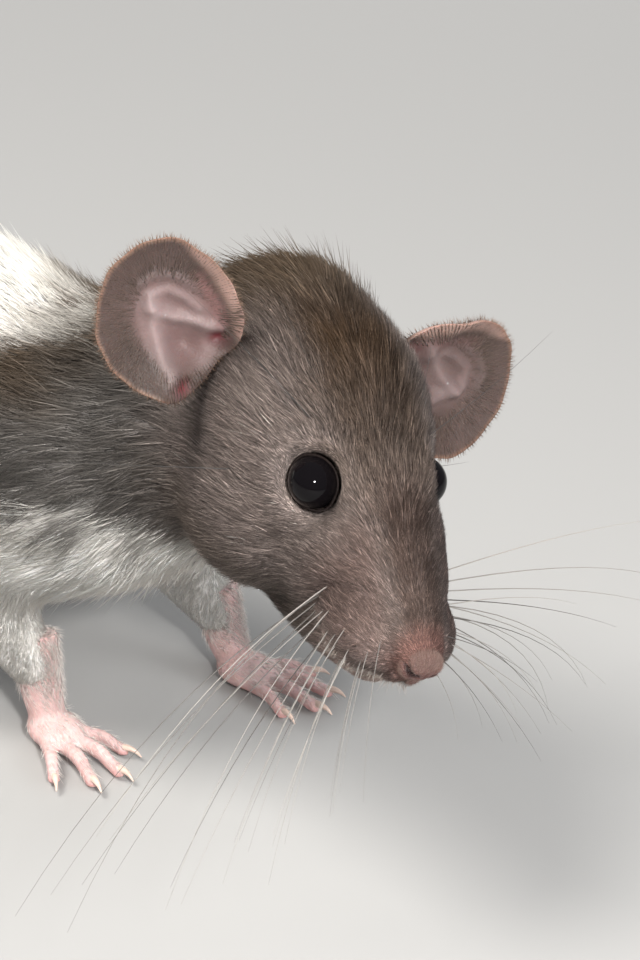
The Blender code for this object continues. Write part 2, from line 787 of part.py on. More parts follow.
def whisker_forms(side, draw):
    """Tapered, bowed whiskers in rows on one pad, the rear ones longest."""
    ways = WHISKER_WAYS[side]
    centre = to_side(WHISKER_PAD["centre"], side)
    long_radius, _, high_radius = WHISKER_PAD["radii"]
    forms = []
    for row in range(WHISKER_ROWS):
        height = 0.62 - 1.1 * row / (WHISKER_ROWS - 1)
        for column in range(WHISKERS_IN_ROW):
            ahead = column / (WHISKERS_IN_ROW - 1)
            root = centre + Vector((long_radius * (ahead - 0.42) * 0.95, side * 1.0, high_radius * height * 0.8))
            way = Vector(ways["rear"]).lerp(Vector(ways["front"]), ahead)
            way += Vector((draw.uniform(-0.07, 0.07), 0, 0.34 * height + draw.uniform(-0.05, 0.05)))
            way.normalize()
            length = WHISKER_LONGEST + (WHISKER_SHORTEST - WHISKER_LONGEST) * ahead
            length *= draw.uniform(0.9, 1.0)
            bow = Vector((-0.10, side * 0.02, -0.08)) * length
            path, sizes = [], []
            for step in range(4):
                t = step / 3
                path.append(root + way * length * t + bow * t**2)
                sizes.append(WHISKER_ROOT_RADIUS + (WHISKER_TIP_RADIUS - WHISKER_ROOT_RADIUS) * t)
            forms.append(on_head(sweep(path, sizes, sizes, 3)))
    return forms


def whiskers(side, head, parts, cutters, draw):
    """A whisker pad parted from the head, with its whiskers."""
    name = f"whisker_pad_{SIDE_NAMES[side]}"
    obj = part_off(head, name, lambda grow: on_head(sized_ball(WHISKER_PAD, side, grow + 0.2)), parts, cutters)
    unite(obj, whisker_forms(side, draw))
    return obj


# Tail


def tail_rows():
    """Points and radii along the tail, from its root to its tip, a millimetre apart."""
    x, y, z = walk(TRUNK, -1)[-1][:3]
    heading = TRUNK[-1][1] + 180
    rows = []
    for i in range(int(TAIL_LENGTH) + 1):
        share = i / TAIL_LENGTH
        swell = 0.6 * math.exp(-share / 0.05)
        radius = TAIL_TIP_RADIUS + (TAIL_ROOT_RADIUS - 0.6 - TAIL_TIP_RADIUS) * (1 - share) ** 0.95 + swell
        fallen = min(i / TAIL_DROP, 1)
        height = radius * 0.9 + (z - TAIL_ROOT_RADIUS * 0.9) * (1 - fallen) ** 2
        rows.append((x, y, height, radius))
        angle = math.radians(heading - TAIL_SWING * math.sin(1.25 * math.pi * share))
        slope = 2 * (z - TAIL_ROOT_RADIUS) * (1 - fallen) / TAIL_DROP
        level = math.sqrt(max(0.0, 1 - slope**2))
        x += math.cos(angle) * level
        y += math.sin(angle) * level
    return np.array(rows)


def tail_section(rows, at):
    return [float(np.interp(at, np.arange(len(rows)), rows[:, column])) for column in range(4)]


def tail(parts):
    """The tail in lengths end to end, laid flat where it rests on the floor."""
    rows = tail_rows()
    length = TAIL_LENGTH / TAIL_PARTS
    for number in range(TAIL_PARTS):
        start = number * length + GAP
        end = (number + 1) * length - GAP / 2
        count = max(2, round((end - start) / TAIL_STEP))
        sections = [tail_section(rows, at) for at in np.linspace(start, end, count + 1)]
        sizes = [section[3] for section in sections]
        form = sweep([section[:3] for section in sections], sizes, sizes, TAIL_SIDES)
        for vert in form.verts:
            vert.co.z = max(vert.co.z, 0)
        finish(new_object(f"tail_{number + 1}", form, parts), "tail")


def behind_rump():
    """All that lies behind the tail's root, across the tail."""
    rows = tail_rows()
    here, there = Vector(rows[0][:3]), Vector(rows[2][:3])
    turn = turn_to((there - here).normalized())
    return block(here + turn @ Vector((0, 0, 15)), (40, 40, 30), turn)


def centre_in_metres(parts):
    """Puts the middle of the whole box over the origin and brings every mesh to metres."""
    corners = [Vector(vert.co) for obj in parts.objects for vert in obj.data.vertices]
    low = [min(corner[axis] for corner in corners) for axis in range(3)]
    high = [max(corner[axis] for corner in corners) for axis in range(3)]
    middle = Vector(((low[0] + high[0]) / 2, (low[1] + high[1]) / 2, 0))
    matrix = Matrix.Scale(METRES_PER_MM, 4) @ Matrix.Translation(-middle)
    for obj in parts.objects:
        obj.data.transform(matrix)
        obj.data.update()


def main():
    parts, cutters = start_scene()
    draw = random.Random(7)
    whole = body(cutters)
    for side in (RIGHT, LEFT):
        clear_paw(whole, FORE_LIMBS[side], WRIST_HEIGHT, cutters)
        clear_paw(whole, HIND_LIMBS[side], ANKLE_HEIGHT, cutters)
    cut(whole, behind_rump(), "DIFFERENCE", cutters)

    for side in (RIGHT, LEFT):
        finish(ear(side, whole, parts, cutters), "ear")
    head = part_off(whole, "head", head_region, parts, cutters)
    for side in (RIGHT, LEFT):
        clear_orbit(side, head, cutters)
    unite(head, [lid_form(side) for side in (RIGHT, LEFT)])
    for side in (RIGHT, LEFT):
        finish(eye(side, head, parts, cutters), "eye")
    finish(nose(head, parts, cutters), "skin")
    jaw = part_off(head, "jaw", lambda grow: on_head(sized_ball(JAW_REACH, grow=grow)), parts, cutters)
    finish(jaw, "hood")
    for side in (RIGHT, LEFT):
        finish(whiskers(side, head, parts, cutters, draw), "hood")
    finish(head, "hood")

    for side in (RIGHT, LEFT):
        name = SIDE_NAMES[side]
        finish(part_off(whole, f"fore_leg_{name}", fore_leg_region(side), parts, cutters), "white")
        finish(part_off(whole, f"hind_leg_{name}", hind_leg_region(side), parts, cutters), "white")
        fore = paw(f"fore_paw_{name}", fore_paw_forms(), FORE_TOES, FORE_LIMBS[side], WRIST_HEIGHT, parts, cutters)
        hind = paw(f"hind_paw_{name}", hind_paw_forms(), HIND_TOES, HIND_LIMBS[side], ANKLE_HEIGHT, parts, cutters)
        finish(fore, "skin")
        finish(hind, "skin")
    finish(part_off(whole, "neck", neck_region, parts, cutters), "hood")
    finish(part_off(whole, "chest", ahead_of(CHEST_BACK), parts, cutters), "hood")
    finish(part_off(whole, "belly", ahead_of(BELLY_BACK), parts, cutters), "white")
    cutters.objects.unlink(whole)
    parts.objects.link(whole)
    whole.name = "rump"
    finish(whole, "white")
    tail(parts)
    centre_in_metres(parts)


if __name__ == "__main__":
    main()
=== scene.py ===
import math
import bpy
import numpy as np
from mathutils import Matrix, Vector
from mathutils.kdtree import KDTree


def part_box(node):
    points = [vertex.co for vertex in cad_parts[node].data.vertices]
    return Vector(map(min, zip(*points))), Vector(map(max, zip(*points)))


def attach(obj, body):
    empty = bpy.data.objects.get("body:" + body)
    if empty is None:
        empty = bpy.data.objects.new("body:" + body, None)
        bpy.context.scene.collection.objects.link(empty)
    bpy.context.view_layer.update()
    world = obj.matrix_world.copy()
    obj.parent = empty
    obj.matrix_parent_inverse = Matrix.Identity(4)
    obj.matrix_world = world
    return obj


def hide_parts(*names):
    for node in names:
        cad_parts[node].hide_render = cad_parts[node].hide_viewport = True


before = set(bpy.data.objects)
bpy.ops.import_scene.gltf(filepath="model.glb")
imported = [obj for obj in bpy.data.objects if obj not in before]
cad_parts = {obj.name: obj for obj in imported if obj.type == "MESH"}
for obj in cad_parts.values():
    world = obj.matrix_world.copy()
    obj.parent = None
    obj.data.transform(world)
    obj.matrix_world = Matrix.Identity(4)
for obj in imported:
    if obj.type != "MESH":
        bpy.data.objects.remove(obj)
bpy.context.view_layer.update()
bpy.ops.object.select_all(action="DESELECT")
draw = np.random.default_rng(11)
mm = 0.001

# The head's own axes: x out of the nose, y to its left, z up, from the middle between the eyes.
head = {"at": (38.5, -22.5, 47.5), "yaw": -48.5, "drop": 18.0, "roll": -11.0}
headTurn = np.array(
    Matrix.Rotation(math.radians(head["yaw"]), 3, "Z")
    @ Matrix.Rotation(math.radians(head["drop"]), 3, "Y")
    @ Matrix.Rotation(math.radians(head["roll"]), 3, "X")
)


def boxMiddle(node):
    low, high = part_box(node)
    return (np.array(low) + np.array(high)) / 2


midEye = (boxMiddle("eye_right") + boxMiddle("eye_left")) / 2
layoutShift = midEye - (np.array(head["at"]) + headTurn @ (0.3, 0, 0.3)) * mm


def onHead(points):  # head millimetres to the model's metres
    return (np.asarray(points, float) @ headTurn.T + head["at"]) * mm + layoutShift


def fromHead(points):  # the model's metres to head millimetres
    return ((points - layoutShift) / mm - head["at"]) @ headTurn


def lengthOf(rows):
    return np.linalg.norm(rows, axis=-1)


def unit(rows):
    return rows / np.maximum(lengthOf(rows), 1e-9)[..., None]


def ease(low, high, values):  # 0 below low, 1 above high, smooth between
    share = np.clip((values - low) / (high - low), 0, 1)
    return share * share * (3 - 2 * share)


def hump(values, middle, spread):
    return np.exp(-(((values - middle) / spread) ** 2))


def onSide(spot, side):  # a spot of the head's left half, or its mirror image for side -1
    return np.array(spot) * (1, side, 1)


def laidOn(ways, normals):  # what is left of each way along the surface
    return ways - normals * np.sum(ways * normals, axis=1)[:, None]


def mixed(first, second, share):
    return first + (np.asarray(second) - first) * np.asarray(share)[:, None]


def painted(base, patches):  # one colour with others laid over it, each by its share
    tone = np.tile(base, (len(patches[0][1]), 1))
    for colour, share in patches:
        tone = mixed(tone, colour, share)
    return tone


def nearPath(points, path):  # distance of each point to a line through a few others
    path = np.array(path)
    best = np.full(points.shape[:-1], 9.0)
    for first, second in zip(path[:-1], path[1:]):
        step = second - first
        share = np.clip((points - first) @ step / (step @ step), 0, 1)[..., None]
        best = np.minimum(best, lengthOf(points - first - share * step))
    return best


def overFloor(points, gap=0.02):  # in millimetres
    points[:, 2] = np.maximum(points[:, 2], gap * mm)
    return points


def newObject(name, data):
    made = bpy.data.objects.new(name, data)
    bpy.context.scene.collection.objects.link(made)
    return made


def makePiece(name, points, faces, material, replaced=(), values=None):
    mesh = bpy.data.meshes.new(name)
    faces = np.asarray(faces)
    sides = faces.shape[1]
    mesh.vertices.add(len(points))
    mesh.loops.add(faces.size)
    mesh.polygons.add(len(faces))
    mesh.vertices.foreach_set("co", np.asarray(points, np.float32).ravel())
    mesh.loops.foreach_set("vertex_index", faces.astype(np.int32).ravel())
    mesh.polygons.foreach_set("loop_start", np.arange(0, faces.size, sides, dtype=np.int32))
    mesh.update(calc_edges=True)
    mesh.validate()
    mesh.polygons.foreach_set("use_smooth", np.ones(len(mesh.polygons), bool))
    for key, rows in (values or {}).items():
        rows = np.asarray(rows, np.float32)
        if rows.ndim == 1:
            mesh.attributes.new(key, "FLOAT", "POINT").data.foreach_set("value", rows)
        else:
            rows = np.column_stack([rows, np.ones(len(rows), np.float32)])
            mesh.attributes.new(key, "FLOAT_COLOR", "POINT").data.foreach_set("color", rows.ravel())
    mesh.materials.append(material)
    piece = newObject(name, mesh)
    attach(piece, "root")
    if replaced:
        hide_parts(*replaced)
    return piece


def readMesh(mesh):  # points and triangles
    mesh.calc_loop_triangles()
    points = np.empty(len(mesh.vertices) * 3, np.float32)
    mesh.vertices.foreach_get("co", points)
    faces = np.empty(len(mesh.loop_triangles) * 3, np.int32)
    mesh.loop_triangles.foreach_get("vertices", faces)
    return points.reshape(-1, 3).astype(float), faces.reshape(-1, 3)


def faceTurns(points, faces):  # each triangle's normal, twice as long as its area
    corners = points[faces]
    return np.cross(corners[:, 1] - corners[:, 0], corners[:, 2] - corners[:, 0])


def pointNormals(points, faces):
    flat = faceTurns(points, faces)
    found = np.zeros_like(points)
    for corner in range(3):
        np.add.at(found, faces[:, corner], flat)
    return unit(found)


def nodeShape(name, grow):  # a CAD node's welded points, pushed out a little, and its triangles
    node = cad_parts[name]
    points, faces = readMesh(node.data)
    points = points @ np.array(node.matrix_world)[:3, :3].T + np.array(node.matrix_world)[:3, 3]
    points, index = np.unique(np.round(points, 6), axis=0, return_inverse=True)
    faces = index.reshape(-1)[faces]
    return points + pointNormals(points, faces) * grow, faces


def joined(shapes):
    counts = np.cumsum([0] + [len(points) for points, _ in shapes])
    faces = np.concatenate([shape[1] + start for shape, start in zip(shapes, counts)])
    return np.concatenate([shape[0] for shape in shapes]), faces


def remeshed(points, faces, voxel):  # one closed surface round everything, in even small faces
    mesh = bpy.data.meshes.new("shell")
    mesh.from_pydata(points.tolist(), [], faces.tolist())
    shell = newObject("shell", mesh)
    modifier = shell.modifiers.new("remesh", "REMESH")
    modifier.mode = "VOXEL"
    modifier.voxel_size = voxel
    bpy.context.view_layer.objects.active = shell
    bpy.ops.object.modifier_apply(modifier=modifier.name)
    points, faces = readMesh(shell.data)
    edges = np.empty(len(shell.data.edges) * 2, np.int32)
    shell.data.edges.foreach_get("vertices", edges)
    bpy.data.objects.remove(shell)
    return points, faces, edges.reshape(-1, 2)


def averaged(rows, edges, times, share=0.5):  # each row drawn towards its neighbours' mean
    count = np.bincount(edges.ravel(), minlength=len(rows)).astype(float)
    rows = np.asarray(rows, float)
    flat = rows.reshape(len(rows), -1)
    for _ in range(times):
        total = np.stack(
            [
                np.bincount(edges[:, 0], column[edges[:, 1]], len(rows))
                + np.bincount(edges[:, 1], column[edges[:, 0]], len(rows))
                for column in flat.T
            ],
            axis=1,
        )
        weight = share if np.isscalar(share) else share[:, None]
        flat = flat + (total / np.maximum(count, 1)[:, None] - flat) * weight
    return flat.reshape(rows.shape)


def ringFaces(rings, sides):  # faces round a stack of rings, closed on two points that come last
    i, j = np.divmod(np.arange((rings - 1) * sides), sides)
    a, b = i * sides + j, i * sides + (j + 1) % sides
    ends = np.arange(sides)
    after = (ends + 1) % sides
    pole, last = np.full(sides, rings * sides), (rings - 1) * sides
    corners = [
        (a, a + sides, b + sides),
        (a, b + sides, b),
        (pole, ends, after),
        (pole + 1, last + after, last + ends),
    ]
    return np.concatenate([np.stack(three, axis=1) for three in corners])


def ballShape(centre, radii, count=24, place=onHead):  # a ball in millimetres, put in its place
    tilts = np.linspace(0, math.pi, count // 2 + 1)[1:-1]
    tilts, turns = np.meshgrid(tilts, 2 * math.pi * np.arange(count) / count, indexing="ij")
    rings = [np.sin(tilts) * np.cos(turns), np.sin(tilts) * np.sin(turns), np.cos(tilts)]
    points = np.concatenate([np.stack(rings, axis=2).reshape(-1, 3), [(0, 0, 1), (0, 0, -1)]])
    return place(points * radii + centre), ringFaces(len(tilts), count)


def tubeRows(path, radii, sides):  # a tapered tube along a path, closed at both ends
    path = np.asarray(path, float)
    along = unit(np.gradient(path, axis=0))
    across = unit(np.cross(along, (0.13, 0.21, 0.97)))
    high = np.cross(across, along)
    turns = np.arange(sides)[:, None] * 2 * math.pi / sides
    rings = np.cos(turns) * across[:, None] + np.sin(turns) * high[:, None]
    points = path[:, None] + rings * np.asarray(radii)[:, None, None]
    return np.concatenate([points.reshape(-1, 3), path[:1], path[-1:]]), ringFaces(len(path), sides)


# Materials
def newMaterial(name, roughness, **constants):
    material = bpy.data.materials.new(name)
    material.use_nodes = True
    shader = material.node_tree.nodes["Principled BSDF"]
    shader.inputs["Roughness"].default_value = roughness
    for key, value in constants.items():
        shader.inputs[key.replace("_", " ")].default_value = value
    return material, material.node_tree, shader


def addNode(tree, kind, values=None, **settings):  # a node with its settings and its inputs' values
    node = tree.nodes.new(kind)
    for key, value in settings.items():
        setattr(node, key, value)
    for key, value in (values or {}).items():
        node.inputs[key].default_value = value
    return node


def wire(tree, *wires):  # each is a node and its output, then a node and its input
    for source, output, target, entry in wires:
        tree.links.new(source.outputs[output], target.inputs[entry])


def makeMottle():  # a colour broken up by soft blotches and fine grain, and a height for bumps
    group = bpy.data.node_groups.new("mottle", "ShaderNodeTree")
    for title in ("Colour", "Blotch Scale", "Grain Scale", "Strength"):
        kind = "NodeSocketColor" if title == "Colour" else "NodeSocketFloat"
        group.interface.new_socket(title, in_out="INPUT", socket_type=kind)
    for title, kind in (("Colour", "NodeSocketColor"), ("Height", "NodeSocketFloat")):
        group.interface.new_socket(title, in_out="OUTPUT", socket_type=kind)
    given = group.nodes.new("NodeGroupInput")
    result = group.nodes.new("NodeGroupOutput")
    place = addNode(group, "ShaderNodeTexCoord")
    blotch = addNode(group, "ShaderNodeTexNoise")
    grain = addNode(group, "ShaderNodeTexVoronoi")
    levels = {"From Min": 0.3, "From Max": 0.7, "To Min": 0.62, "To Max": 1.25}
    spread = addNode(group, "ShaderNodeMapRange", levels)
    tone = addNode(group, "ShaderNodeMix", data_type="RGBA", blend_type="MULTIPLY")
    wire(
        group,
        (place, "Object", blotch, "Vector"),
        (place, "Object", grain, "Vector"),
        (given, "Blotch Scale", blotch, "Scale"),
        (given, "Grain Scale", grain, "Scale"),
        (blotch, "Fac", spread, "Value"),
        (given, "Strength", tone, "Factor"),
        (given, "Colour", tone, "A"),
        (spread, "Result", tone, "B"),
        (tone, "Result", result, "Colour"),
        (grain, "Distance", result, "Height"),
    )
    return group


mottleGroup = makeMottle()


def mottleNode(tree, blotch, grain, strength):
    scales = {"Blotch Scale": blotch, "Grain Scale": grain, "Strength": strength}
    return addNode(tree, "ShaderNodeGroup", scales, node_tree=mottleGroup)


def bareSkin(name, colourFrom, roughness, blotch, grain, strength, bump, **constants):
    # Skin coloured by an attribute or by one colour, mottled, with pores as bumps.
    material, tree, shader = newMaterial(name, roughness, **constants)
    mottle = mottleNode(tree, blotch, grain, strength)
    if isinstance(colourFrom, str):
        source = addNode(tree, "ShaderNodeAttribute", attribute_name=colourFrom)
        wire(tree, (source, "Color", mottle, "Colour"))
    else:
        mottle.inputs["Colour"].default_value = (*colourFrom, 1)
    relief = addNode(tree, "ShaderNodeBump", {"Strength": bump, "Distance": 0.0002})
    wire(
        tree,
        (mottle, "Height", relief, "Height"),
        (relief, "Normal", shader, "Normal"),
        (mottle, "Colour", shader, "Base Color"),
    )
    return material


def livingSkin(name, looks, glow, depth, shine):  # skin that lets some light in
    light = {"Subsurface_Weight": glow, "Subsurface_Scale": depth, "Specular_IOR_Level": shine}
    return bareSkin(name, "skinColour", *looks, **light)


def hairMaterial(name, roughness, rootTone, tipTone):
    # Each tuft carries its own colour; it is darker at the root and paler at the tip.
    material, tree, shader = newMaterial(name, roughness, Specular_IOR_Level=0.36)
    colour = addNode(tree, "ShaderNodeAttribute", attribute_name="coatColour")
    along = addNode(tree, "ShaderNodeAttribute", attribute_name="along")
    ramp = addNode(tree, "ShaderNodeValToRGB")
    ends = ((rootTone, rootTone, 0.05), (tipTone, tipTone * 0.97, 0.85))
    for stop, (level, blue, position) in zip(ramp.color_ramp.elements, ends):
        stop.color = (level, level, blue, 1)
        stop.position = position
    tone = addNode(tree, "ShaderNodeMix", data_type="RGBA", blend_type="MULTIPLY")
    tone.inputs["Factor"].default_value = 1.0
    wire(
        tree,
        (along, "Fac", ramp, "Fac"),
        (colour, "Color", tone, "A"),
        (ramp, "Color", tone, "B"),
        (tone, "Result", shader, "Base Color"),
    )
    return material


furMaterial = hairMaterial("coat_hair", 0.46, 0.76, 1.10)
fuzzMaterial = hairMaterial("ear_fuzz", 0.55, 0.8, 1.15)
whiskerMaterial = hairMaterial("whisker_hair", 0.35, 0.75, 1.05)
hideMaterial = bareSkin("coat_hide", "coatColour", 0.8, 260, 2600, 0.7, 0.3)
pawMaterial = livingSkin("paw_skin", (0.48, 420, 3200, 0.45, 0.35), 0.12, 0.001, 0.5)
earMaterial = livingSkin("ear_skin", (0.52, 340, 4200, 0.35, 0.2), 0.12, 0.0008, 0.35)
noseMaterial = livingSkin("nose_skin", (0.46, 700, 4600, 0.4, 0.6), 0.08, 0.0006, 0.35)
lidTone = (0.012, 0.008, 0.007)
lidMaterial = bareSkin("lid_skin", lidTone, 0.62, 900, 5200, 0.5, 0.3, Specular_IOR_Level=0.12)
clawMaterial = bareSkin("claw_horn", (0.66, 0.50, 0.42), 0.28, 900, 2600, 0.4, 0.1)


# Coat: its landmarks on the head's left half, its surface's step and its two kinds of tufts,
# short ones on the head and long ones on the body and limbs.
coat = {
    "nose": (20.7, 0, -6.4),
    "eye": (0.3, 7.0, 0.3),
    "gaze": (0.46, 0.76, 0.46),
    "pad": (13.6, 4.4, -7.8),
    "padSize": (5.7, 3.4, 3.8),
    "fillers": [  # balls that fill up the nape, the nose and the jowls: place and radii
        ((-12, 0, -4), (8, 8, 8)),
        ((19.9, 0, -6.3), (2.1, 3.0, 2.6)),
        ((-16.0, -8.2, -6.0), (8.5, 5.6, 8.5)),
        ((-16.0, 8.2, -6.0), (8.5, 5.6, 8.5)),
    ],
    # The bowl that the skin keeps round each eye.
    "eyeDip": {"wide": 4.5, "top": 3.5, "ball": 4.6, "most": 3, "reach": 6},
    "voxel": 0.6,
    "smooth": (16, 70),  # rounds of smoothing all over and where the head meets the neck
    "lightest": 0.85,  # no tuft reflects more than this share of the light
    # glint: how much paler a glint tuft is; glints are partly pale hairs and partly painted highlights
    "short": {"count": 137000, "vary": 0.34, "glint": 2.1, "shade": 0.48, "slot": "head"},
    "long": {"count": 208000, "vary": 0.15, "glint": 1.45, "shade": 0.75, "slot": "belly"},
    "inPiece": 48000,  # tufts in one piece of the coat
    "cover": (5.2, 2.0),  # how many tufts lie over each other, and how many fewer in the white
    "lengths": (0.72, 1.12),  # one tuft's least and most share of the coat's length, width and depth
    "widths": (0.75, 1.25),
    "depths": (0.5, 1.05),
    "guards": (0.04, 0.05),  # share of tufts that stand out, and how much more on the body
    "guardOut": (1.3, 0.35, 0.75),  # how much further out, and how much more on the body and neck
    "guardLonger": 1.1,
    "glints": 0.16,  # below this draw a tuft is pale, a painted glint: partly a pale hair and partly a painted highlight; above the next it is dark
    "shades": 0.82,
    "sunk": 0.12,  # how deep their roots are in the skin
    "eyeClear": (3.05, 3.0, 3.0),  # how far their roots, middles and tips keep from an eye
    "noseClear": 1.9,
    "floorClear": 0.3,
    "whiteFloor": 33.0,  # below this height the chest and shoulder are white
    "hoodTop": 95.0,  # where the hood ends along the back, and lower down on the side
    "hoodSide": 74.0,
}
tones = {
    "crown": (0.040, 0.022, 0.010),
    "cheek": (0.196, 0.160, 0.148),
    "snoutSide": (0.148, 0.102, 0.091),
    "bridge": (0.068, 0.044, 0.036),
    "nape": (0.078, 0.051, 0.030),
    "shoulder": (0.165, 0.152, 0.143),
    # jowl: partly the hood's own darker tone and partly painted shade under the jaw
    "jowl": (0.135, 0.108, 0.092),
    "lip": (0.42, 0.31, 0.28),
    "padSide": (0.27, 0.215, 0.20),
    "white": (0.84, 0.81, 0.775),
    "pink": (0.20, 0.102, 0.087),
}
legNodes = [f"{pair}_leg_{name}" for pair in ("fore", "hind") for name in ("right", "left")]
fleshNodes = ["head", "jaw", "neck", "chest", "belly", "rump"] + legNodes
padNodes = ["whisker_pad_right", "whisker_pad_left"]


def makeHide():  # one skin round all the flesh, and what part of the body each of its points belongs to
    shapes = [nodeShape(name, 0.25 * mm) for name in fleshNodes]
    pads = [ballShape(onSide(coat["pad"], side), coat["padSize"]) for side in (-1, 1)]
    fillers = [ballShape(*ball) for ball in coat["fillers"]]
    points, faces, edges = remeshed(*joined(shapes + pads + fillers), coat["voxel"] * mm)
    local = fromHead(points)
    dip = coat["eyeDip"]
    for side in (-1, 1):  # takes the solids' lids off, so that only the dip round the eye is left
        gaze = unit(onSide(coat["gaze"], side))
        away = local - onSide(coat["eye"], side)
        out = away @ gaze
        across = lengthOf(away - out[:, None] * gaze)
        bowl = dip["top"] - np.sqrt(np.maximum(dip["ball"] ** 2 - across**2, 0))
        over = np.clip(out - bowl, 0, dip["most"]) * (across < dip["wide"]) * (np.abs(out) < dip["reach"])
        local -= gaze * over[:, None]
    points = onHead(local)
    tree = KDTree(sum(len(shape[0]) for shape in shapes))
    owners = []
    for number, shape in enumerate(shapes):
        for point in shape[0]:
            tree.insert(point, len(owners))
            owners.append(number)
    tree.balance()
    owner = np.array([owners[tree.find(point)[1]] for point in points])
    parts = averaged(np.eye(len(shapes))[owner], edges, 14)
    return points, faces, edges, parts


hidePoints, hideFaces, hideEdges, hideParts = makeHide()
onFace = fromHead(hidePoints)
noseAway = lengthOf(onFace - coat["nose"])
eyeAway = np.min([lengthOf(onFace - onSide(coat["eye"], side)) for side in (-1, 1)], axis=0)
headShare = hideParts[:, 0] + hideParts[:, 1]
neckShare = hideParts[:, 2]
legShare = hideParts[:, 6:].sum(axis=1)
trunkShare = hideParts[:, 3:6].sum(axis=1)
bodyShare = np.clip(neckShare + trunkShare + legShare, 0, 1)
rise = hidePoints[:, 2] / mm
faceEase = headShare * (1 - ease(10, 24, noseAway))
print("hide", len(hidePoints), "points")

smoothShare = np.clip(0.5 - 0.32 * faceEase - 0.3 * hump(eyeAway, 3, 1.6), 0.08, 0.5)
hidePoints = averaged(hidePoints, hideEdges, coat["smooth"][0], smoothShare)
seam = np.clip(averaged(headShare * neckShare, hideEdges, 30) * 14, 0, 0.5)
hidePoints = averaged(hidePoints, hideEdges, coat["smooth"][1], seam)
for padSide in (-1, 1):  # a shallow crease round each whisker pad
    padAway = lengthOf((onFace - onSide(coat["pad"], padSide)) / coat["padSize"])
    crease = 0.42 * mm * hump(padAway, 1.24, 0.15) * headShare * ease(23, 20.5, onFace[:, 0])
    hidePoints -= pointNormals(hidePoints, hideFaces) * crease[:, None]
hideNormals = unit(averaged(pointNormals(hidePoints, hideFaces), hideEdges, 4))


def coatSizes():  # the coat's depth, and the length and width of its tufts, in millimetres
    depth = headShare * (0.22 + 1.15 * ease(3, 36, noseAway)) + neckShare * 1.5 + trunkShare * 1.6
    depth += legShare * (0.35 + 1.2 * ease(11, 28, rise))
    length = headShare * (0.75 + 1.0 * ease(2, 12, noseAway) + 2.2 * ease(10, 38, noseAway))
    length += neckShare * 4.9 + trunkShare * 5.9 + legShare * (1.2 + 2.7 * ease(11, 30, rise))
    rear = ease(84, 44, hidePoints[:, 0] / mm)
    width = headShare * (0.075 + 0.03 * ease(3, 30, noseAway)) + neckShare * 0.15
    width += trunkShare * (0.175 + 0.05 * rear) + legShare * (0.12 + 0.06 * ease(9, 26, rise))
    depth, length, width = averaged(np.stack([depth, length, width], axis=1), hideEdges, 24).T
    depth *= 1 - 0.75 * hump(eyeAway, 2.5, 3.0)
    length *= 1 - 0.72 * hump(eyeAway, 2.5, 3.6)
    return depth, length, width


coatDepth, coatLength, coatWidth = coatSizes()


def coatFlow():  # which way the hair lies at each point of the hide
    side = np.sign(onFace[:, 1])
    drop = -0.12 - 0.30 * ease(4, 12, -onFace[:, 2])
    headFlow = np.stack([np.full(len(side), -1.0), 0.16 * side, drop], axis=1)
    for eyeSide in (-1, 1):
        away = onFace - onSide(coat["eye"], eyeSide)
        headFlow += unit(away) * (1.3 * hump(lengthOf(away), 2.6, 3.2))[:, None]
    headFlow = unit(headFlow) @ headTurn.T
    trunkFlow = np.tile((-0.95, 0, -0.1), (len(side), 1))
    trunkFlow[:, 2] -= 0.35 * ease(0.1, 0.9, 1 - np.abs(hideNormals[:, 2]))
    trunkFlow[:, 2] -= 1.1 * ease(0.3, 0.9, -hideNormals[:, 0])
    legFlow = np.tile((-0.35, 0, -0.93), (len(side), 1))
    neckFlow = unit(0.5 * headFlow + 0.6 * trunkFlow + (0, 0, -0.2))
    flow = headFlow * headShare[:, None] + neckFlow * neckShare[:, None]
    flow += unit(trunkFlow) * trunkShare[:, None] + legFlow * legShare[:, None]
    return unit(laidOn(averaged(flow, hideEdges, 6), hideNormals))


hideFlow = coatFlow()
clump = averaged(draw.normal(0, 1, (len(hidePoints), 3)), hideEdges, 7)
clump /= clump.std(axis=0)


def coatTones():  # the markings: hood, paler cheeks and sides, white below and behind, and a darker jowl that is partly painted shade under the jaw
    x, y, z = onFace.T
    wide = np.abs(y)
    patches = {
        "crown": ease(10.5, 3.0, wide) * ease(-24, 4, -np.abs(x + 10) * 0.6) * ease(-2, 5, z),
        "bridge": ease(3, 9, x) * ease(4.6, 1.6, wide) * 0.85,
        "snoutSide": ease(5, 12, x) * ease(2.6, 5.0, wide) * 0.8,
        # darker under the jaw: partly the hood's tone, partly painted shade
        "jowl": ease(-9.0, -13.5, z) * ease(14, 2, x) * 0.7,
        "padSide": ease(-6.6, -8.8, z) * ease(8, 12, x) * 0.6,
        "lip": ease(-8.6, -10.8, z) * ease(8, 14, x) * 0.9,
        "pink": ease(5.0, 2.2, noseAway) * 0.75,
    }
    tone = painted(tones["cheek"], [(tones[name], share) for name, share in patches.items()])
    back = ease(0.35, 0.95, hideNormals[:, 2])
    body = painted(tones["shoulder"], [(tones["nape"], back * 0.9)])
    tone = mixed(tone, body, averaged(bodyShare, hideEdges, 130))
    wave = clump[:, 0] * 1.6
    ends = coat["hoodSide"] + (coat["hoodTop"] - coat["hoodSide"]) * ease(42, 54, rise)
    behind = ease(ends + 4, ends - 4, hidePoints[:, 0] / mm + wave)
    below = ease(coat["whiteFloor"] + 3, coat["whiteFloor"] - 3, rise + wave) * bodyShare
    legs = np.clip(legShare * 1.6, 0, 1) * ease(32, 27, rise)
    white = np.max([behind, below, legs], axis=0)
    return mixed(tone, tones["white"], white), white


hideTone, whiteShare = coatTones()
hidePoints = hidePoints - hideNormals * (coatDepth * mm)[:, None]


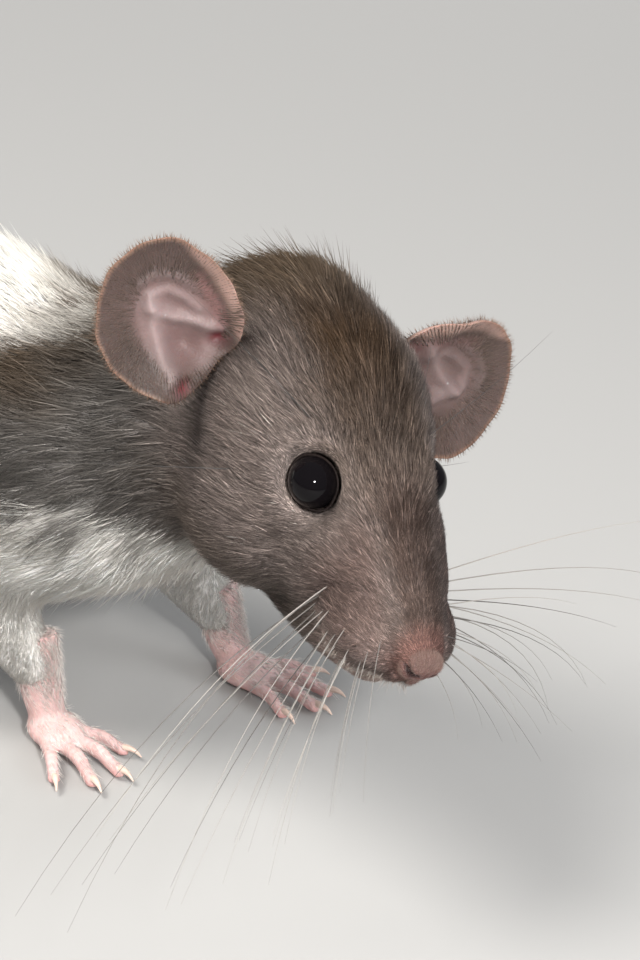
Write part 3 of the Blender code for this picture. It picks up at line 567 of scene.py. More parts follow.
def atlas(points, normals):  # six flat views of the hide, laid out in three columns and two rows
    facing = np.argmax(np.abs(normals), axis=1)
    turned = np.take_along_axis(normals, facing[:, None], axis=1)[:, 0] > 0
    low = points.min(axis=0)
    share = (points - low) / (points.max(axis=0) - low).max()
    across = np.where(facing == 0, share[:, 1], share[:, 0])
    high = np.where(facing == 2, share[:, 1], share[:, 2])
    return np.stack([(facing + 0.04 + across * 0.92) / 3, (turned + 0.04 + high * 0.92) / 2], axis=1)


def hopTable(points, edges, flow):  # for each point, its neighbour that lies furthest along the hair
    start = np.concatenate([edges[:, 0], edges[:, 1]])
    end = np.concatenate([edges[:, 1], edges[:, 0]])
    gain = np.sum(unit(points[end] - points[start]) * flow[start], axis=1)
    order = np.lexsort((gain, start))
    table = np.arange(len(points))
    table[start[order]] = end[order]
    return table


hops = hopTable(hidePoints, hideEdges, hideFlow)


# A tuft is a thin spike with three points round its root and one at its tip.
tuft = {
    "faces": [(0, 2, 1), (0, 1, 3), (1, 2, 3), (2, 0, 3)],
    "along": (0, 0, 0, 1),
    "patch": [(0, 0), (0.5, 0), (1, 0), (0.5, 1)],
    "patchSize": 0.003,
}


def growTufts(name, roots, normals, flows, widths, tips, colours, places, material, slotName):
    across = unit(np.cross(normals, flows))
    corners = []
    for turn in (math.pi / 2, math.pi * 7 / 6, math.pi * 11 / 6):
        out = across * math.cos(turn) + normals * math.sin(turn)
        corners.append(roots + out * (widths * 0.5)[:, None])
    points = np.stack(corners + [tips], axis=1).reshape(-1, 3)
    faces = (np.array(tuft["faces"]) + 4 * np.arange(len(roots))[:, None, None]).reshape(-1, 3)
    colours = np.clip(colours, 0, coat["lightest"])
    values = {"coatColour": np.repeat(colours, 4, axis=0), "along": np.tile(tuft["along"], len(roots))}
    piece = makePiece(name, points, faces, material, values=values)
    spots = places[:, None] + np.array(tuft["patch"]) * tuft["patchSize"]
    spots = spots.reshape(-1, 2)[faces.ravel()]
    layer = piece.data.uv_layers.new(name="OFBake")
    layer.data.foreach_set("uv", spots.astype(np.float32).ravel())


def scatter(faces, chance, count):  # places in the faces, as the corners round each and their shares
    face = draw.choice(len(faces), count, p=chance / chance.sum())
    return faces[face], draw.dirichlet((1, 1, 1), count)


def blended(rows, corners, share):
    return np.einsum("ij,ij...->i...", share, rows[corners])


def growCoat(kindName, ofKind):
    kind = coat[kindName]
    count = kind["count"]
    area = lengthOf(faceTurns(hidePoints, hideFaces)) / 2 / mm**2
    size = (coatLength * coatWidth)[hideFaces].mean(axis=1)
    cover, fewer = coat["cover"]
    cover = (cover - fewer * whiteShare)[hideFaces].mean(axis=1)
    corners, share = scatter(hideFaces, area * cover / size * ofKind, count)

    def spread(rows):  # a value of the hide at each root
        return blended(rows, corners, share)

    roots, normals, flows = spread(hidePoints), unit(spread(hideNormals)), unit(spread(hideFlow))
    vary = spread(clump)
    lengths = spread(coatLength) * draw.uniform(*coat["lengths"], count) * (1 + 0.07 * vary[:, 1])
    widths = spread(coatWidth) * draw.uniform(*coat["widths"], count)
    depths = spread(coatDepth) * draw.uniform(*coat["depths"], count) * (1 + 0.05 * vary[:, 2])
    onBody = spread(neckShare + trunkShare)
    few, more = coat["guards"]
    guard = draw.random(count) < few + more * onBody
    out, bodyOut, neckOut = coat["guardOut"]
    depths[guard] *= (out + bodyOut * onBody + neckOut * spread(neckShare))[guard]
    lengths[guard] *= coat["guardLonger"]
    bend = (0.16 * vary[:, 0] + draw.normal(0, 0.17, count))[:, None]
    flows = unit(flows + np.cross(normals, flows) * bend)
    reach = lengths / coat["voxel"] / 0.93
    here = far = corners[np.arange(count), np.argmax(share, axis=1)]
    for step in range(1, int(reach.max()) + 2):
        here = hops[here]
        far = np.where(reach >= step, here, far)
    lengths, widths, depths = lengths * mm, widths * mm, depths * mm
    tips = roots + flows * lengths[:, None]
    over = np.sum((tips - hidePoints[far]) * hideNormals[far], axis=1)
    tips += hideNormals[far] * (depths - over)[:, None]
    local = fromHead(roots)
    keep = lengthOf(local - coat["nose"]) > coat["noseClear"]
    keep &= np.minimum(tips[:, 2], roots[:, 2]) > coat["floorClear"] * mm
    for eyeSide in (-1, 1):
        eyeAt = onHead(onSide(coat["eye"], eyeSide))
        for spots, clear in zip((roots, (roots + tips) / 2, tips), coat["eyeClear"]):
            keep &= lengthOf(spots - eyeAt) > clear * mm
    light = spread(whiteShare)
    noise = draw.normal(0, kind["vary"], count) * (1 - 0.2 * light)
    colours = spread(hideTone) * np.exp(noise + 0.05 * vary[:, 0])[:, None]
    glintDraw = draw.random(count)
    # pale tufts are painted glints: partly pale hairs, partly painted highlights on single hairs
    pale = (glintDraw < coat["glints"]) & (light < 0.5)
    colours[pale] = colours[pale] * kind["glint"] + 0.02
    colours[glintDraw > coat["shades"] + 0.08 * light] *= kind["shade"]
    places = atlas(roots, normals)
    roots = roots - normals * coat["sunk"] * mm
    order = np.argsort(-local[:, 0])
    order = order[keep[order]]
    for number, start in enumerate(range(0, len(order), coat["inPiece"])):
        pick = order[start : start + coat["inPiece"]]
        rows = [values[pick] for values in (roots, normals, flows, widths, tips, colours, places)]
        growTufts(f"coat_{kindName}_{number + 1}", *rows, furMaterial, kind["slot"])
    print("coat", kindName, len(order), "tufts")


hideColour = {"coatColour": hideTone * (0.8 + 0.15 * whiteShare)[:, None]}
makePiece("hide", hidePoints, hideFaces, hideMaterial, fleshNodes + padNodes, hideColour)
onHeadFaces = headShare[hideFaces].mean(axis=1) > 0.5
growCoat("short", onHeadFaces)
growCoat("long", ~onHeadFaces)


def dustHairs(name, points, faces, normals, flows, weights, count, length, width, lift, colour, slotName):
    # Fine hairs over a piece, denser where the weights are high.
    chance = lengthOf(faceTurns(points, faces)) * weights[faces].mean(axis=1)
    corners, share = scatter(faces, chance, count)
    roots = blended(points, corners, share)
    upward = unit(blended(normals, corners, share))
    flow = flows[corners[:, 0]] + draw.normal(0, 0.15, (count, 3))
    flow = unit(laidOn(flow, upward))
    lengths = length * draw.uniform(0.6, 1.15, count) * mm
    widths = width * draw.uniform(0.7, 1.2, count) * mm
    tips = overFloor(roots + (flow * 0.95 + upward * lift * 0.8) * lengths[:, None], 0.12)
    colours = np.array(colour) * np.exp(draw.normal(0, 0.12, count))[:, None]
    places = atlas(roots, upward)
    roots = roots - upward * 0.04 * mm
    growTufts(name, roots, upward, flow, widths, tips, colours, places, furMaterial, slotName)


# Eyes, lids and nose
eyes = {"radius": 2.85, "high": 0.93, "lidOut": 0.1, "lidThick": 0.15, "spokes": 72, "lidSides": 10}
black = (0.003, 0.0024, 0.003, 1)
eyeMaterial = newMaterial("eye_wet_black", 0.02, Base_Color=black, Specular_IOR_Level=0.15)[0]


def makeEye(side, name):
    centre = onSide(coat["eye"], side)
    gaze = unit(onSide(coat["gaze"], side))
    ahead = unit(np.array((1, 0, -0.25)) - gaze * np.dot((1, 0, -0.25), gaze))
    high = np.cross(ahead, gaze) * -side
    points, faces = ballShape((0, 0, 0), (eyes["radius"],) * 3, eyes["spokes"], np.array)
    points -= (points @ high)[:, None] * high * (1 - eyes["high"])
    node = f"eye_{name}"
    makePiece(f"eyeball_{name}", onHead(points + centre), faces, eyeMaterial, [node])
    count, sides = eyes["spokes"], eyes["lidSides"]
    turns = np.linspace(0, 2 * math.pi, count + 1)[:-1]
    rim = math.sqrt(eyes["radius"] ** 2 - eyes["lidOut"] ** 2)
    corner = 1 + 0.11 * np.maximum(np.cos(turns), 0) ** 9 + 0.05 * np.maximum(-np.cos(turns), 0) ** 9
    ring = (np.cos(turns) * corner)[:, None] * ahead + np.sin(turns)[:, None] * high * eyes["high"]
    path = centre + gaze * eyes["lidOut"] + ring * (rim + 0.06)
    thick = eyes["lidThick"] * (0.9 + 0.3 * np.abs(np.cos(turns)) ** 3)
    spins = np.arange(sides)[:, None] * 2 * math.pi / sides
    around = np.cos(spins) * unit(ring)[:, None] + np.sin(spins) * gaze * 0.8
    points = path[:, None] + around * thick[:, None, None]
    i, j = np.divmod(np.arange(count * sides), sides)
    after, beside = (i + 1) % count * sides, (j + 1) % sides
    faces = np.stack([i * sides + j, i * sides + beside, after + beside, after + j], axis=1)
    faces = faces[:, ::-1] if side < 0 else faces
    makePiece(f"eyelids_{name}", onHead(points.reshape(-1, 3)), faces, lidMaterial)


nose = {
    "balls": [  # place, radii and number of sides
        ((20.75, -1.3, -6.35), (1.5, 1.3, 1.5), 28),
        ((20.75, 1.3, -6.35), (1.5, 1.3, 1.5), 28),
        ((20.6, 0, -6.2), (1.75, 2.35, 1.95), 32),
        ((20.2, 0, -8.2), (1.3, 0.8, 1.4), 20),
    ],
    "voxel": 0.14,
    "smooth": 10,
    "nostril": [(22.1, 1.05, -7.05), (22.0, 1.7, -6.75), (21.6, 2.3, -6.1), (20.9, 2.6, -5.5)],
    "bare": ((22.3, 0, -7.0), (1.5, 2.4, 1.3)),  # middle and size of the hairless part
    "hairs": (4200, 0.8, 0.05, 0.3, (0.225, 0.150, 0.130)),  # count, length, width, lift and colour
}


def makeNose():
    balls = [ballShape(*ball) for ball in nose["balls"]]
    points, faces, edges = remeshed(*joined(balls), nose["voxel"] * mm)
    points = averaged(points, edges, nose["smooth"])
    local = fromHead(points)
    ahead, across, high = local.T
    groove = hump(across, 0, 0.20) * ease(20.8, 22.0, ahead) * ease(-5.6, -6.8, high)
    nostril = nearPath(np.stack([ahead, np.abs(across), high], axis=1), nose["nostril"])
    sink = groove * 0.3 + 0.75 * hump(nostril, 0, 0.40)
    points = points - pointNormals(points, faces) * (sink * mm)[:, None]
    patches = [
        ((0.145, 0.082, 0.070), ease(-6.6, -5.2, high)),
        # painted shade: the nostril slits near black, though they are only a shallow sink
        ((0.016, 0.005, 0.005), ease(0.66, 0.30, nostril)),
        # painted shade: darker along the groove below the nose, where it sinks
        ((0.10, 0.045, 0.04), groove * 0.8),
    ]
    tone = {"skinColour": painted((0.118, 0.054, 0.046), patches)}
    makePiece("nose_pad", points, faces, noseMaterial, ["nose"], tone)
    normals = pointNormals(points, faces)
    middle, size = nose["bare"]
    weights = ease(0.55, 1.15, lengthOf((local - middle) / size)) * ease(0.3, 0.75, nostril)
    back = np.tile(headTurn @ (-1.0, 0, 0.1), (len(points), 1))
    dustHairs("nose_hair", points, faces, normals, back, weights, *nose["hairs"], "nose")


for eyeSide, eyeName in ((-1, "right"), (1, "left")):
    makeEye(eyeSide, eyeName)
makeNose()
print("eyes, lids and nose")


# Ears: thin cups in the same place as the solids, with the folds and the canal inside them.
# Each bulge of the outline has its turn, spread and height.
ears = {
    "wall": 0.55,
    "spokes": 150,
    "rings": 64,
    "fuzz": 8500,
    "right": {
        "side": -1,
        "folds": 1.0,
        "radius": 8.1,
        "bulges": [
            (2.55, 0.42, 0.18), (3.66, 0.4, 0.07), (5.72, 0.5, 0.14),
            (0.82, 0.45, -0.07), (4.5, 0.36, -0.05),
        ],
        "middle": (-18.0, -19.7, 6.4),
        "opens": (0.82, -0.36, 0.36),
        "tip": (-0.5, -0.8, 0.5),
    },
    "left": {
        "side": 1,
        # painted shade: the inner markings of this ear, the far one, are drawn at under half the strength
        # of the near ear's
        "folds": 0.45,
        "radius": 8.7,
        "bulges": [(2.55, 0.42, 0.14), (3.66, 0.4, 0.05), (5.72, 0.5, -0.03), (0.82, 0.45, 0.04)],
        "middle": (-15.0, 20.3, -0.5),
        "opens": (0.93, 0.20, 0.30),
        "tip": (0.0, 0.95, -0.25),
    },
}
# Ridges of the ear in its own plane, out to its edge and down across it: path, height, spread, paleness.
ridges = [
    ([(0.24, 0.06), (0.06, 0.03), (-0.13, -0.05), (-0.37, -0.21), (-0.68, -0.38)], 0.85, 0.105, 0.9),
    ([(0.16, 0.12), (-0.09, 0.26), (-0.30, 0.35), (-0.52, 0.44), (-0.88, 0.55)], 0.75, 0.105, 0.75),
    ([(0.57, -0.06), (0.53, -0.28), (0.31, -0.465), (0.04, -0.54)], 0.30, 0.08, 0.35),
    ([(0.34, -0.02), (0.23, -0.25), (-0.02, -0.34), (-0.25, -0.36)], 0.34, 0.075, 0.5),
]
canals = [(-0.76, -0.30), (-0.90, 0.50)]
lowerRim = [(0.1, -0.66), (-0.25, -0.60), (-0.60, -0.50)]


def pit(spots, middle, size):  # 1 at a place of the ear's plane, fading round it
    return np.exp(-np.sum((spots - np.array(middle)) ** 2, axis=-1) / size)


def earRelief(spots):  # how far the inner face stands above the rim's plane, in millimetres
    out, across = np.moveaxis(spots, -1, 0)
    spread = lengthOf(spots)
    depth = -2.3 * (1 - np.minimum(spread, 1.2) ** 2) - 1.6 * pit(spots, (-0.5, 0), 0.16)
    depth += 2.2 * np.maximum(0, -across - out * 0.35 - 0.45) ** 2 * spread**2
    for path, high, wide, _ in ridges:
        depth += high * hump(nearPath(spots, path), 0, wide)
    depth -= 1.3 * pit(spots, (-0.60, 0.15), 0.05) + 2.6 * ease(0.55, 1.1, -out - 0.25 * across)
    for middle in canals:
        depth -= 1.2 * pit(spots, middle, 0.022)
    return depth


def earColour(spots, spread, inner):
    out, across = spots.T
    concha = ease(0.66, 0.34, lengthOf((spots + (0.22, 0.06)) * (0.72, 0.95)))
    patches = [
        ((0.100, 0.067, 0.060), ease(0.0, 0.6, out) * 0.6),
        ((0.172, 0.108, 0.102), concha * inner),
    ]
    for path, _, wide, pale in ridges:
        share = hump(nearPath(spots, path), 0, wide * 1.1) * pale * inner * 0.6
        patches.append(((0.335, 0.262, 0.255), share))
    folded = ease(0.62, 0.80, -across - out * 0.25) * ease(0.75, 0.92, spread) * 0.9
    rim = ease(0.93, 1.0, spread) * ease(-0.7, -0.2, out + across * 0.4) * 0.8
    patches += [
        ((0.22, 0.11, 0.105), hump(nearPath(spots, lowerRim), 0, 0.09) * 0.7 * inner),
        ((0.34, 0.22, 0.185), folded),
        ((0.26, 0.15, 0.105), rim),
    ]
    # the canal pits: their redness is the skin's own, their darkness painted shade in the pits
    patches += [((0.13, 0.025, 0.03), pit(spots, middle, 0.012) * inner) for middle in canals]
    return painted((0.052, 0.034, 0.028), patches)


def earAxes(pose):
    opens = unit(np.array(pose["opens"]))
    tip = np.array(pose["tip"])
    tip = unit(tip - opens * (tip @ opens))
    return opens, tip, np.cross(tip, opens) * pose["side"]


def makeEar(name):
    pose = ears[name]
    opens, tip, down = earAxes(pose)
    turns = np.arange(ears["spokes"]) * 2 * math.pi / ears["spokes"]
    shares = np.linspace(0.02, 1, ears["rings"])
    shape = np.ones(len(turns))
    for at, wide, gain in pose["bulges"]:
        shape += gain * hump((turns - at + math.pi) % (2 * math.pi), math.pi, wide)
    outline = np.stack([np.cos(turns) * shape, np.sin(turns) * shape], axis=1)
    spots = shares[:, None, None] * outline  # in the ear's plane, towards its tip and down
    wave = 0.012 * np.sin(7 * turns + 1) + 0.008 * np.sin(13 * turns)
    grow = 1 + wave * ease(0.8, 1.0, shares)[:, None]
    flat = spots * grow[..., None] * pose["radius"] @ np.array([tip, down]) + pose["middle"]
    relief = earRelief(spots)
    wall = ears["wall"]
    lap = wall * np.sqrt(np.clip(1 - ease(0.9, 1.0, shares) ** 2 * 0.85, 0.05, 1))[:, None]
    near = flat + opens * (relief - (wall - lap) / 2)[..., None]
    far = flat + opens * (averagedRings(relief, 5) - (wall + lap) / 2 - 0.25)[..., None]
    far[-1] = flat[-1] + opens * (relief[-1] - wall * 0.75)[..., None]
    rings = np.concatenate([near, far[::-1]]).reshape(-1, 3)
    points = np.concatenate([rings, near[:1].mean(axis=1), far[:1].mean(axis=1)])
    faces = ringFaces(2 * len(shares), len(turns))
    if pose["side"] > 0:
        faces = faces[:, ::-1]
    spread = np.repeat(shares, len(turns))
    # the inner markings at the ear's strength, lowered on the left ear as painted shade
    inside = earColour(spots.reshape(-1, 2), spread, pose["folds"])
    outside = earColour(spots[::-1].reshape(-1, 2), spread[::-1], 0.0)
    tone = {"skinColour": np.concatenate([inside, outside, np.full((2, 3), 0.3)])}
    node = f"ear_{name}"
    makePiece(f"ear_cup_{name}", onHead(points), faces, earMaterial, [node], tone)
    growFuzz(name, onHead(near), onHead(far), spots, opens @ headTurn.T)


def averagedRings(values, times):
    for _ in range(times):
        values = (np.roll(values, 1, axis=1) + np.roll(values, -1, axis=1) + 2 * values) / 4
        inside = (values[:-2] + values[2:] + 2 * values[1:-1]) / 4
        values = np.concatenate([values[:1], inside, values[-1:]])
    return values


def growFuzz(name, near, far, spots, facing):  # short down, thick on the rim and thin inside
    rows, spokes = spots.shape[:2]
    count = ears["fuzz"]
    outside = draw.random(count) < 0.45
    shareOut = draw.random(count) ** 0.5
    shareIn = 0.40 + 0.60 * draw.random(count) ** 0.62
    share = np.where(outside, shareOut, shareIn)
    ring = np.clip((share * (rows - 1)).astype(int), 2, rows - 1)
    spoke = draw.integers(0, spokes, count)
    kept = (lengthOf((spots[ring, spoke] + (0.30, 0)) * (0.8, 1)) >= 0.5) | outside
    ring, spoke, share, outside = ring[kept], spoke[kept], share[kept], outside[kept, None]
    roots = np.where(outside, far[ring, spoke], near[ring, spoke])
    inner = np.where(outside, far[ring - 2, spoke], near[ring - 2, spoke])
    normals = np.where(outside, -facing, facing)
    flows = unit(laidOn(unit(roots - inner), normals) + draw.normal(0, 0.16, roots.shape))
    edge = ease(0.93, 1.0, share)
    lengths = (0.95 - 0.25 * edge) * draw.uniform(0.6, 1.2, len(ring)) * mm
    widths = draw.uniform(0.05, 0.085, len(ring)) * mm
    lift = (0.24 + 0.14 * draw.random(len(ring)))[:, None]
    tips = roots + (flows + normals * lift) * lengths[:, None]
    colours = np.where(outside, (0.10, 0.070, 0.055), (0.112, 0.080, 0.065))
    colours = colours * np.exp(draw.normal(0, 0.25, len(ring)))[:, None]
    colours = mixed(colours, (0.30, 0.18, 0.12), edge * 0.55)
    places = 0.5 + 0.45 / 1.4 * spots[ring, spoke]
    roots = roots - flows * 0.02 * mm
    looks = (fuzzMaterial, f"ear_{name}")
    growTufts(f"ear_down_{name}", roots, normals, flows, widths, tips, colours, places, *looks)


for earName in ("right", "left"):
    makeEar(earName)
print("ears")


# Whiskers, brow hairs and the pale hairs of the chin
whiskers = {
    "columns": (3, 5, 6, 5, 4),  # whiskers in each row, from the top
    "steps": 11,
    "shortest": 16.0,
    "root": 0.08,
    "rootSpan": (8.5, 2.5, 2.72),  # how far the roots spread ahead, out and up on the pad
    "right": {
        "side": -1,
        "longest": 44.5,
        "fan": 0.26,
        "bow": (0.16, 0.14, -0.27),
        "rear": (0.20, -0.80, -0.56),
        "front": (0.62, -0.34, -0.66),
    },
    "left": {
        "side": 1,
        "longest": 51.0,
        "fan": 0.36,
        "bow": (-0.12, -0.03, -0.36),
        "rear": (-0.08, 0.96, -0.06),
        "front": (0.30, 0.84, -0.36),
    },
}
browHairs = {  # root, way and length of each
    "right": [
        ((-1.5, -5.6, 4.4), (-0.75, -0.62, 0.35), 23.0),
        ((-2.6, -5.0, 4.9), (-0.9, -0.2, 0.5), 15.0),
        ((-6.0, -11.0, -4.0), (-0.35, -0.95, -0.3), 17.0),
    ],
    "left": [
        ((-1.5, 5.6, 4.4), (-0.30, 0.9, 0.55), 22.0),
        ((-2.6, 5.0, 4.9), (-0.8, 0.5, 0.5), 14.0),
        ((-6.0, 11.0, -4.0), (-0.35, 0.95, -0.3), 17.0),
    ],
}
chinHairs = {"lips": 420, "chin": 260, "steps": 5, "tone": (0.36, 0.31, 0.28)}


def hairRows(root, way, length, bow, thick, steps):  # one long tapered hair in head millimetres
    share = np.linspace(0, 1, steps)[:, None]
    path = np.array(root) + np.array(way) * length * share + np.array(bow) * share**2
    return tubeRows(path, thick * (1 - 0.86 * share[:, 0] ** 0.8), 5)


def makeHairs(name, shapes, colours, steps):  # one piece of many long hairs, all over the floor
    points, faces = joined(shapes)
    points = overFloor(onHead(points), 0.1)
    along = np.tile(np.append(np.repeat(np.linspace(0, 1, steps), 5), (0, 1)), len(shapes))
    values = {"coatColour": np.repeat(colours, len(shapes[0][0]), axis=0), "along": along}
    makePiece(name, points, faces, whiskerMaterial, values=values)


def makeWhiskers(name):
    own = whiskers[name]
    rear, front = np.array(own["rear"]), np.array(own["front"])
    shapes, colours = [], []
    last = len(whiskers["columns"]) - 1
    long, deep, tall = whiskers["rootSpan"]
    for row, columns in enumerate(whiskers["columns"]):
        height = 0.95 - 1.75 * row / last
        for column in range(columns):
            ahead = column / (columns - 1)
            out = deep * math.sqrt(max(0.1, 1 - height**2 * 0.8)) - 1.5 * ahead
            root = np.array(coat["pad"]) + (long * (ahead - 0.5), out, tall * height)
            root = onSide(root, own["side"])
            stray = (draw.normal(0, 0.07), 0, own["fan"] * height + draw.normal(0, 0.06))
            way = unit(rear + (front - rear) * ahead + stray)
            length = own["longest"] + (whiskers["shortest"] - own["longest"]) * ahead**0.8
            length *= draw.uniform(0.86, 1.05) * (1 - 0.12 * abs(height))
            bow = np.array(own["bow"]) * length * draw.uniform(0.5, 1.35)
            thick = whiskers["root"] * (1.1 - 0.35 * ahead)
            shapes.append(hairRows(root - way * 0.8, way, length, bow, thick, whiskers["steps"]))
            colours.append(np.array((1.0, 0.93, 0.86)) * draw.uniform(0.09, 0.36))
    for root, way, length in browHairs[name]:
        bow = np.array((-0.12, 0, -0.1)) * length
        shapes.append(hairRows(root, unit(np.array(way)), length, bow, 0.05, whiskers["steps"]))
        colours.append(np.full(3, 0.05))
    makeHairs(f"whiskers_{name}", shapes, colours, whiskers["steps"])


def makeChinHairs():
    shapes, steps = [], chinHairs["steps"]
    ahead, side, high = onFace.T
    fringe = (high < -9.0) & (high > -11.4) & (ahead > 9) & (ahead < 20) & (np.abs(side) > 1)
    for spot in draw.choice(np.flatnonzero(fringe), chinHairs["lips"]):
        root = fromHead(hidePoints[spot : spot + 1])[0]
        way = unit(np.array((0.25, 0.5 * np.sign(root[1]), -0.9)) + draw.normal(0, 0.16, 3))
        shapes.append(hairRows(root, way, draw.uniform(0.6, 1.4), way * (-0.2, 0, -0.2), 0.028, steps))
    for _ in range(chinHairs["chin"]):
        around = draw.uniform(-1, 1)
        ahead = 19.4 - 4.6 * abs(around) ** 1.6 + draw.normal(0, 0.3)
        root = np.array((ahead, 3.6 * around, -9.9 - 0.6 * abs(around) + draw.normal(0, 0.3)))
        way = unit(np.array((0.5, 0.35 * around, -0.8)) + draw.normal(0, 0.16, 3))
        shapes.append(hairRows(root, way, draw.uniform(0.8, 1.9), way * (-0.3, 0, -0.25), 0.04, steps))
    makeHairs("chin_hairs", shapes, np.tile(chinHairs["tone"], (len(shapes), 1)), steps)


for whiskerName in ("right", "left"):
    makeWhiskers(whiskerName)
makeChinHairs()
print("whiskers")


# Paws: the same places and toes as the solids, with knuckles, pads and separate claws.
paws = {
    "fore": {"right": ((0.5, -11.0), -36), "left": ((17.0, 9.5), -8)},
    "hind": {"right": ((-74.0, -18.5), -10), "left": ((-84.0, 18.0), 10)},
    "foreToes": [  # where each starts, its turn, length and radius
        (5.2, 2.7, 30, 5.6, 0.85),
        (6.8, 1.1, 9, 6.9, 0.92),
        (6.8, -0.9, -8, 7.0, 0.92),
        (5.6, -2.6, -28, 5.9, 0.85),
    ],
    "hindToes": [
        (16.0, 4.0, 26, 6.2, 1.0),
        (20.6, 2.8, 11, 9.0, 1.1),
        (21.6, 0.5, 1, 9.6, 1.1),
        (21.0, -1.8, -8, 9.2, 1.1),
        (16.6, -3.6, -24, 6.8, 1.0),
    ],
    "voxel": 0.3,
    "smooth": 5,
    "crease": 0.85,  # from one fold over the toes to the next
    "foreStem": ([(-1.6, 0, 12.5), (-0.7, 0, 9.0), (0.0, 0, 6.2), (1.6, 0, 3.2)], [2.5, 2.5, 2.5, 2.2]),
    "hindStem": ([(3.0, 0, 14), (2.4, 0, 11), (1.6, 0, 7.6), (0.2, 0, 3.0)], [3.0, 2.9, 2.8, 2.4]),
    "sole": (
        [(-0.6, 0, 2.6), (7, 0, 2.9), (14, 0, 2.8), (20, 0.2, 2.4), (22, 0.3, 2.2)],
        [2.3, 2.8, 3.6, 4.1, 3.4],
    ),
    "foreBalls": [((3.4, 0, 1.9), (4.0, 3.2, 2.0), 20), ((1.6, 2.5, 1.4), (1.5, 1.2, 1.4), 14)],
    "hindBalls": [((-0.4, 0, 2.2), (2.4, 2.4, 2.3), 16)],
    "hairs": (2400, 1.6, 0.075, 0.35, (0.74, 0.67, 0.64)),  # count, length, width, lift and colour
    "ankleHairs": (3400, 2.4, 0.18, 0.24, tones["white"]),
}
up = np.array((0, 0, 1))


def smoothPath(points, radii, steps=6):  # a smooth curve through a few points, with its radii
    knots = np.column_stack([points, radii])
    knots = np.concatenate([2 * knots[:1] - knots[1:2], knots, 2 * knots[-1:] - knots[-2:-1]])
    rows = []
    for a, b, c, d in zip(knots[:-3], knots[1:-2], knots[2:-1], knots[3:]):
        for t in np.arange(steps) / steps:
            bend = (2 * a - 5 * b + 4 * c - d) * t**2 + (3 * b - 3 * c + d - a) * t**3
            rows.append(0.5 * (2 * b + (c - a) * t + bend))
    rows.append(knots[-2])
    rows = np.array(rows)
    return rows[:, :3], rows[:, 3]


def pawPlacer(kind, name):
    (x, y), turn = paws[kind][name]
    spin = np.array(Matrix.Rotation(math.radians(turn), 3, "Z"))
    return lambda points: (np.asarray(points) @ spin.T + (x, y, 0)) * mm + layoutShift


def headed(angle):  # a way along the floor
    return np.array((math.cos(math.radians(angle)), math.sin(math.radians(angle)), 0))


def toeShapes(x, y, angle, length, radius, place):
    way = headed(angle)
    root = np.array((x, y, radius * 1.5))
    spots = [(-2.0, 0), (length * 0.4, 0.55), (length * 0.75, -0.3)]
    spots += [(length - radius * 0.6, -0.55), (length, -0.6)]
    path = [root + way * out + up * radius * high for out, high in spots]
    points, radii = smoothPath(path, [radius * 1.15, radius, radius * 0.9, radius * 0.92, radius * 0.5])
    shape, faces = tubeRows(points, radii, 12)
    knuckle = ballShape(path[1] - up * 0.1, (radius * 1.05,) * 3, 12, place)
    pad = ballShape(path[3] - up * radius * 0.25, (radius * 1.1, radius * 0.95, radius * 0.7), 12, place)
    return [(place(shape), faces), knuckle, pad]


def clawShape(x, y, angle, length, radius, place):
    way = headed(angle)
    root = np.array((x, y, radius * 1.15)) + way * (length - radius * 0.9)
    path = [root, root + way * 0.9 + up * 0.22, root + way * 1.9 + up * 0.05, root + way * 2.7 - up * 0.5]
    points, radii = smoothPath(path, [radius * 0.5, radius * 0.46, radius * 0.28, 0.07])
    shape, faces = tubeRows(points, radii, 10)
    return place(shape), faces


def makePaw(kind, name):
    place = pawPlacer(kind, name)
    node = f"{kind}_paw_{name}"
    toes = paws[f"{kind}Toes"]
    shapes = [shape for toe in toes for shape in toeShapes(*toe, place)]
    shapes += [ballShape(*ball, place) for ball in paws[f"{kind}Balls"]]
    if kind == "hind":
        tube, faces = tubeRows(*smoothPath(*paws["sole"]), 18)
        shapes.append((place(tube * (1, 1, 0.72)), faces))
    tube, faces = tubeRows(*smoothPath(*paws[f"{kind}Stem"]), 16)
    shapes.append((place(tube), faces))
    points, faces, edges = remeshed(*joined(shapes), paws["voxel"] * mm)
    points = overFloor(averaged(points, edges, paws["smooth"], 0.45))
    normals = pointNormals(points, faces)
    height = points[:, 2] / mm
    wrist = lengthOf(points[:, :2] - place([(0, 0, 0)])[0, :2]) / mm
    creases = (0.5 + 0.5 * np.sin(wrist * 2 * math.pi / paws["crease"])) * ease(7, 9, wrist)
    patches = [
        ((0.66, 0.47, 0.45), ease(0.2, 0.9, normals[:, 2])),
        ((0.62, 0.30, 0.28), ease(1.6, 0.3, height) * 0.6),
        # painted shade: darker along the toe creases, which sink only a little
        ((0.50, 0.27, 0.26), creases * ease(0.1, 0.6, normals[:, 2]) * 0.35),
    ]
    tone = {"skinColour": painted((0.60, 0.39, 0.37), patches)}
    points = points - normals * (creases * 0.05 * mm)[:, None]
    makePiece(f"paw_{kind}_{name}", points, faces, pawMaterial, [node], tone)
    claws, clawFaces = joined([clawShape(*toe, place) for toe in toes])
    makePiece(f"claws_{kind}_{name}", overFloor(claws), clawFaces, clawMaterial)
    ahead = unit(place([(1, 0, 0)])[0] - place([(0, 0, 0)])[0])
    flows = averaged(np.tile(ahead + (0, 0, -0.35), (len(points), 1)), edges, 1)
    weights = ease(-0.15, 0.5, normals[:, 2] + 0.5 * ease(4, 7, height)) * ease(0.5, 2.0, height)
    weights += 1.6 * ease(4.5, 8.0, height)
    dustHairs(f"paw_hair_{kind}_{name}", points, faces, normals, flows, weights, *paws["hairs"], node)
    if kind == "hind":  # the coat thins out down the ankle
        down = np.tile((0, 0, -1.0), (len(points), 1))
        weights = ease(5.0, 9.5, height) ** 2
        dustHairs(f"ankle_hair_{name}", points, faces, normals, down, weights, *paws["ankleHairs"], node)


for pawKind in ("fore", "hind"):
    for pawName in ("right", "left"):
        makePaw(pawKind, pawName)
print("paws")


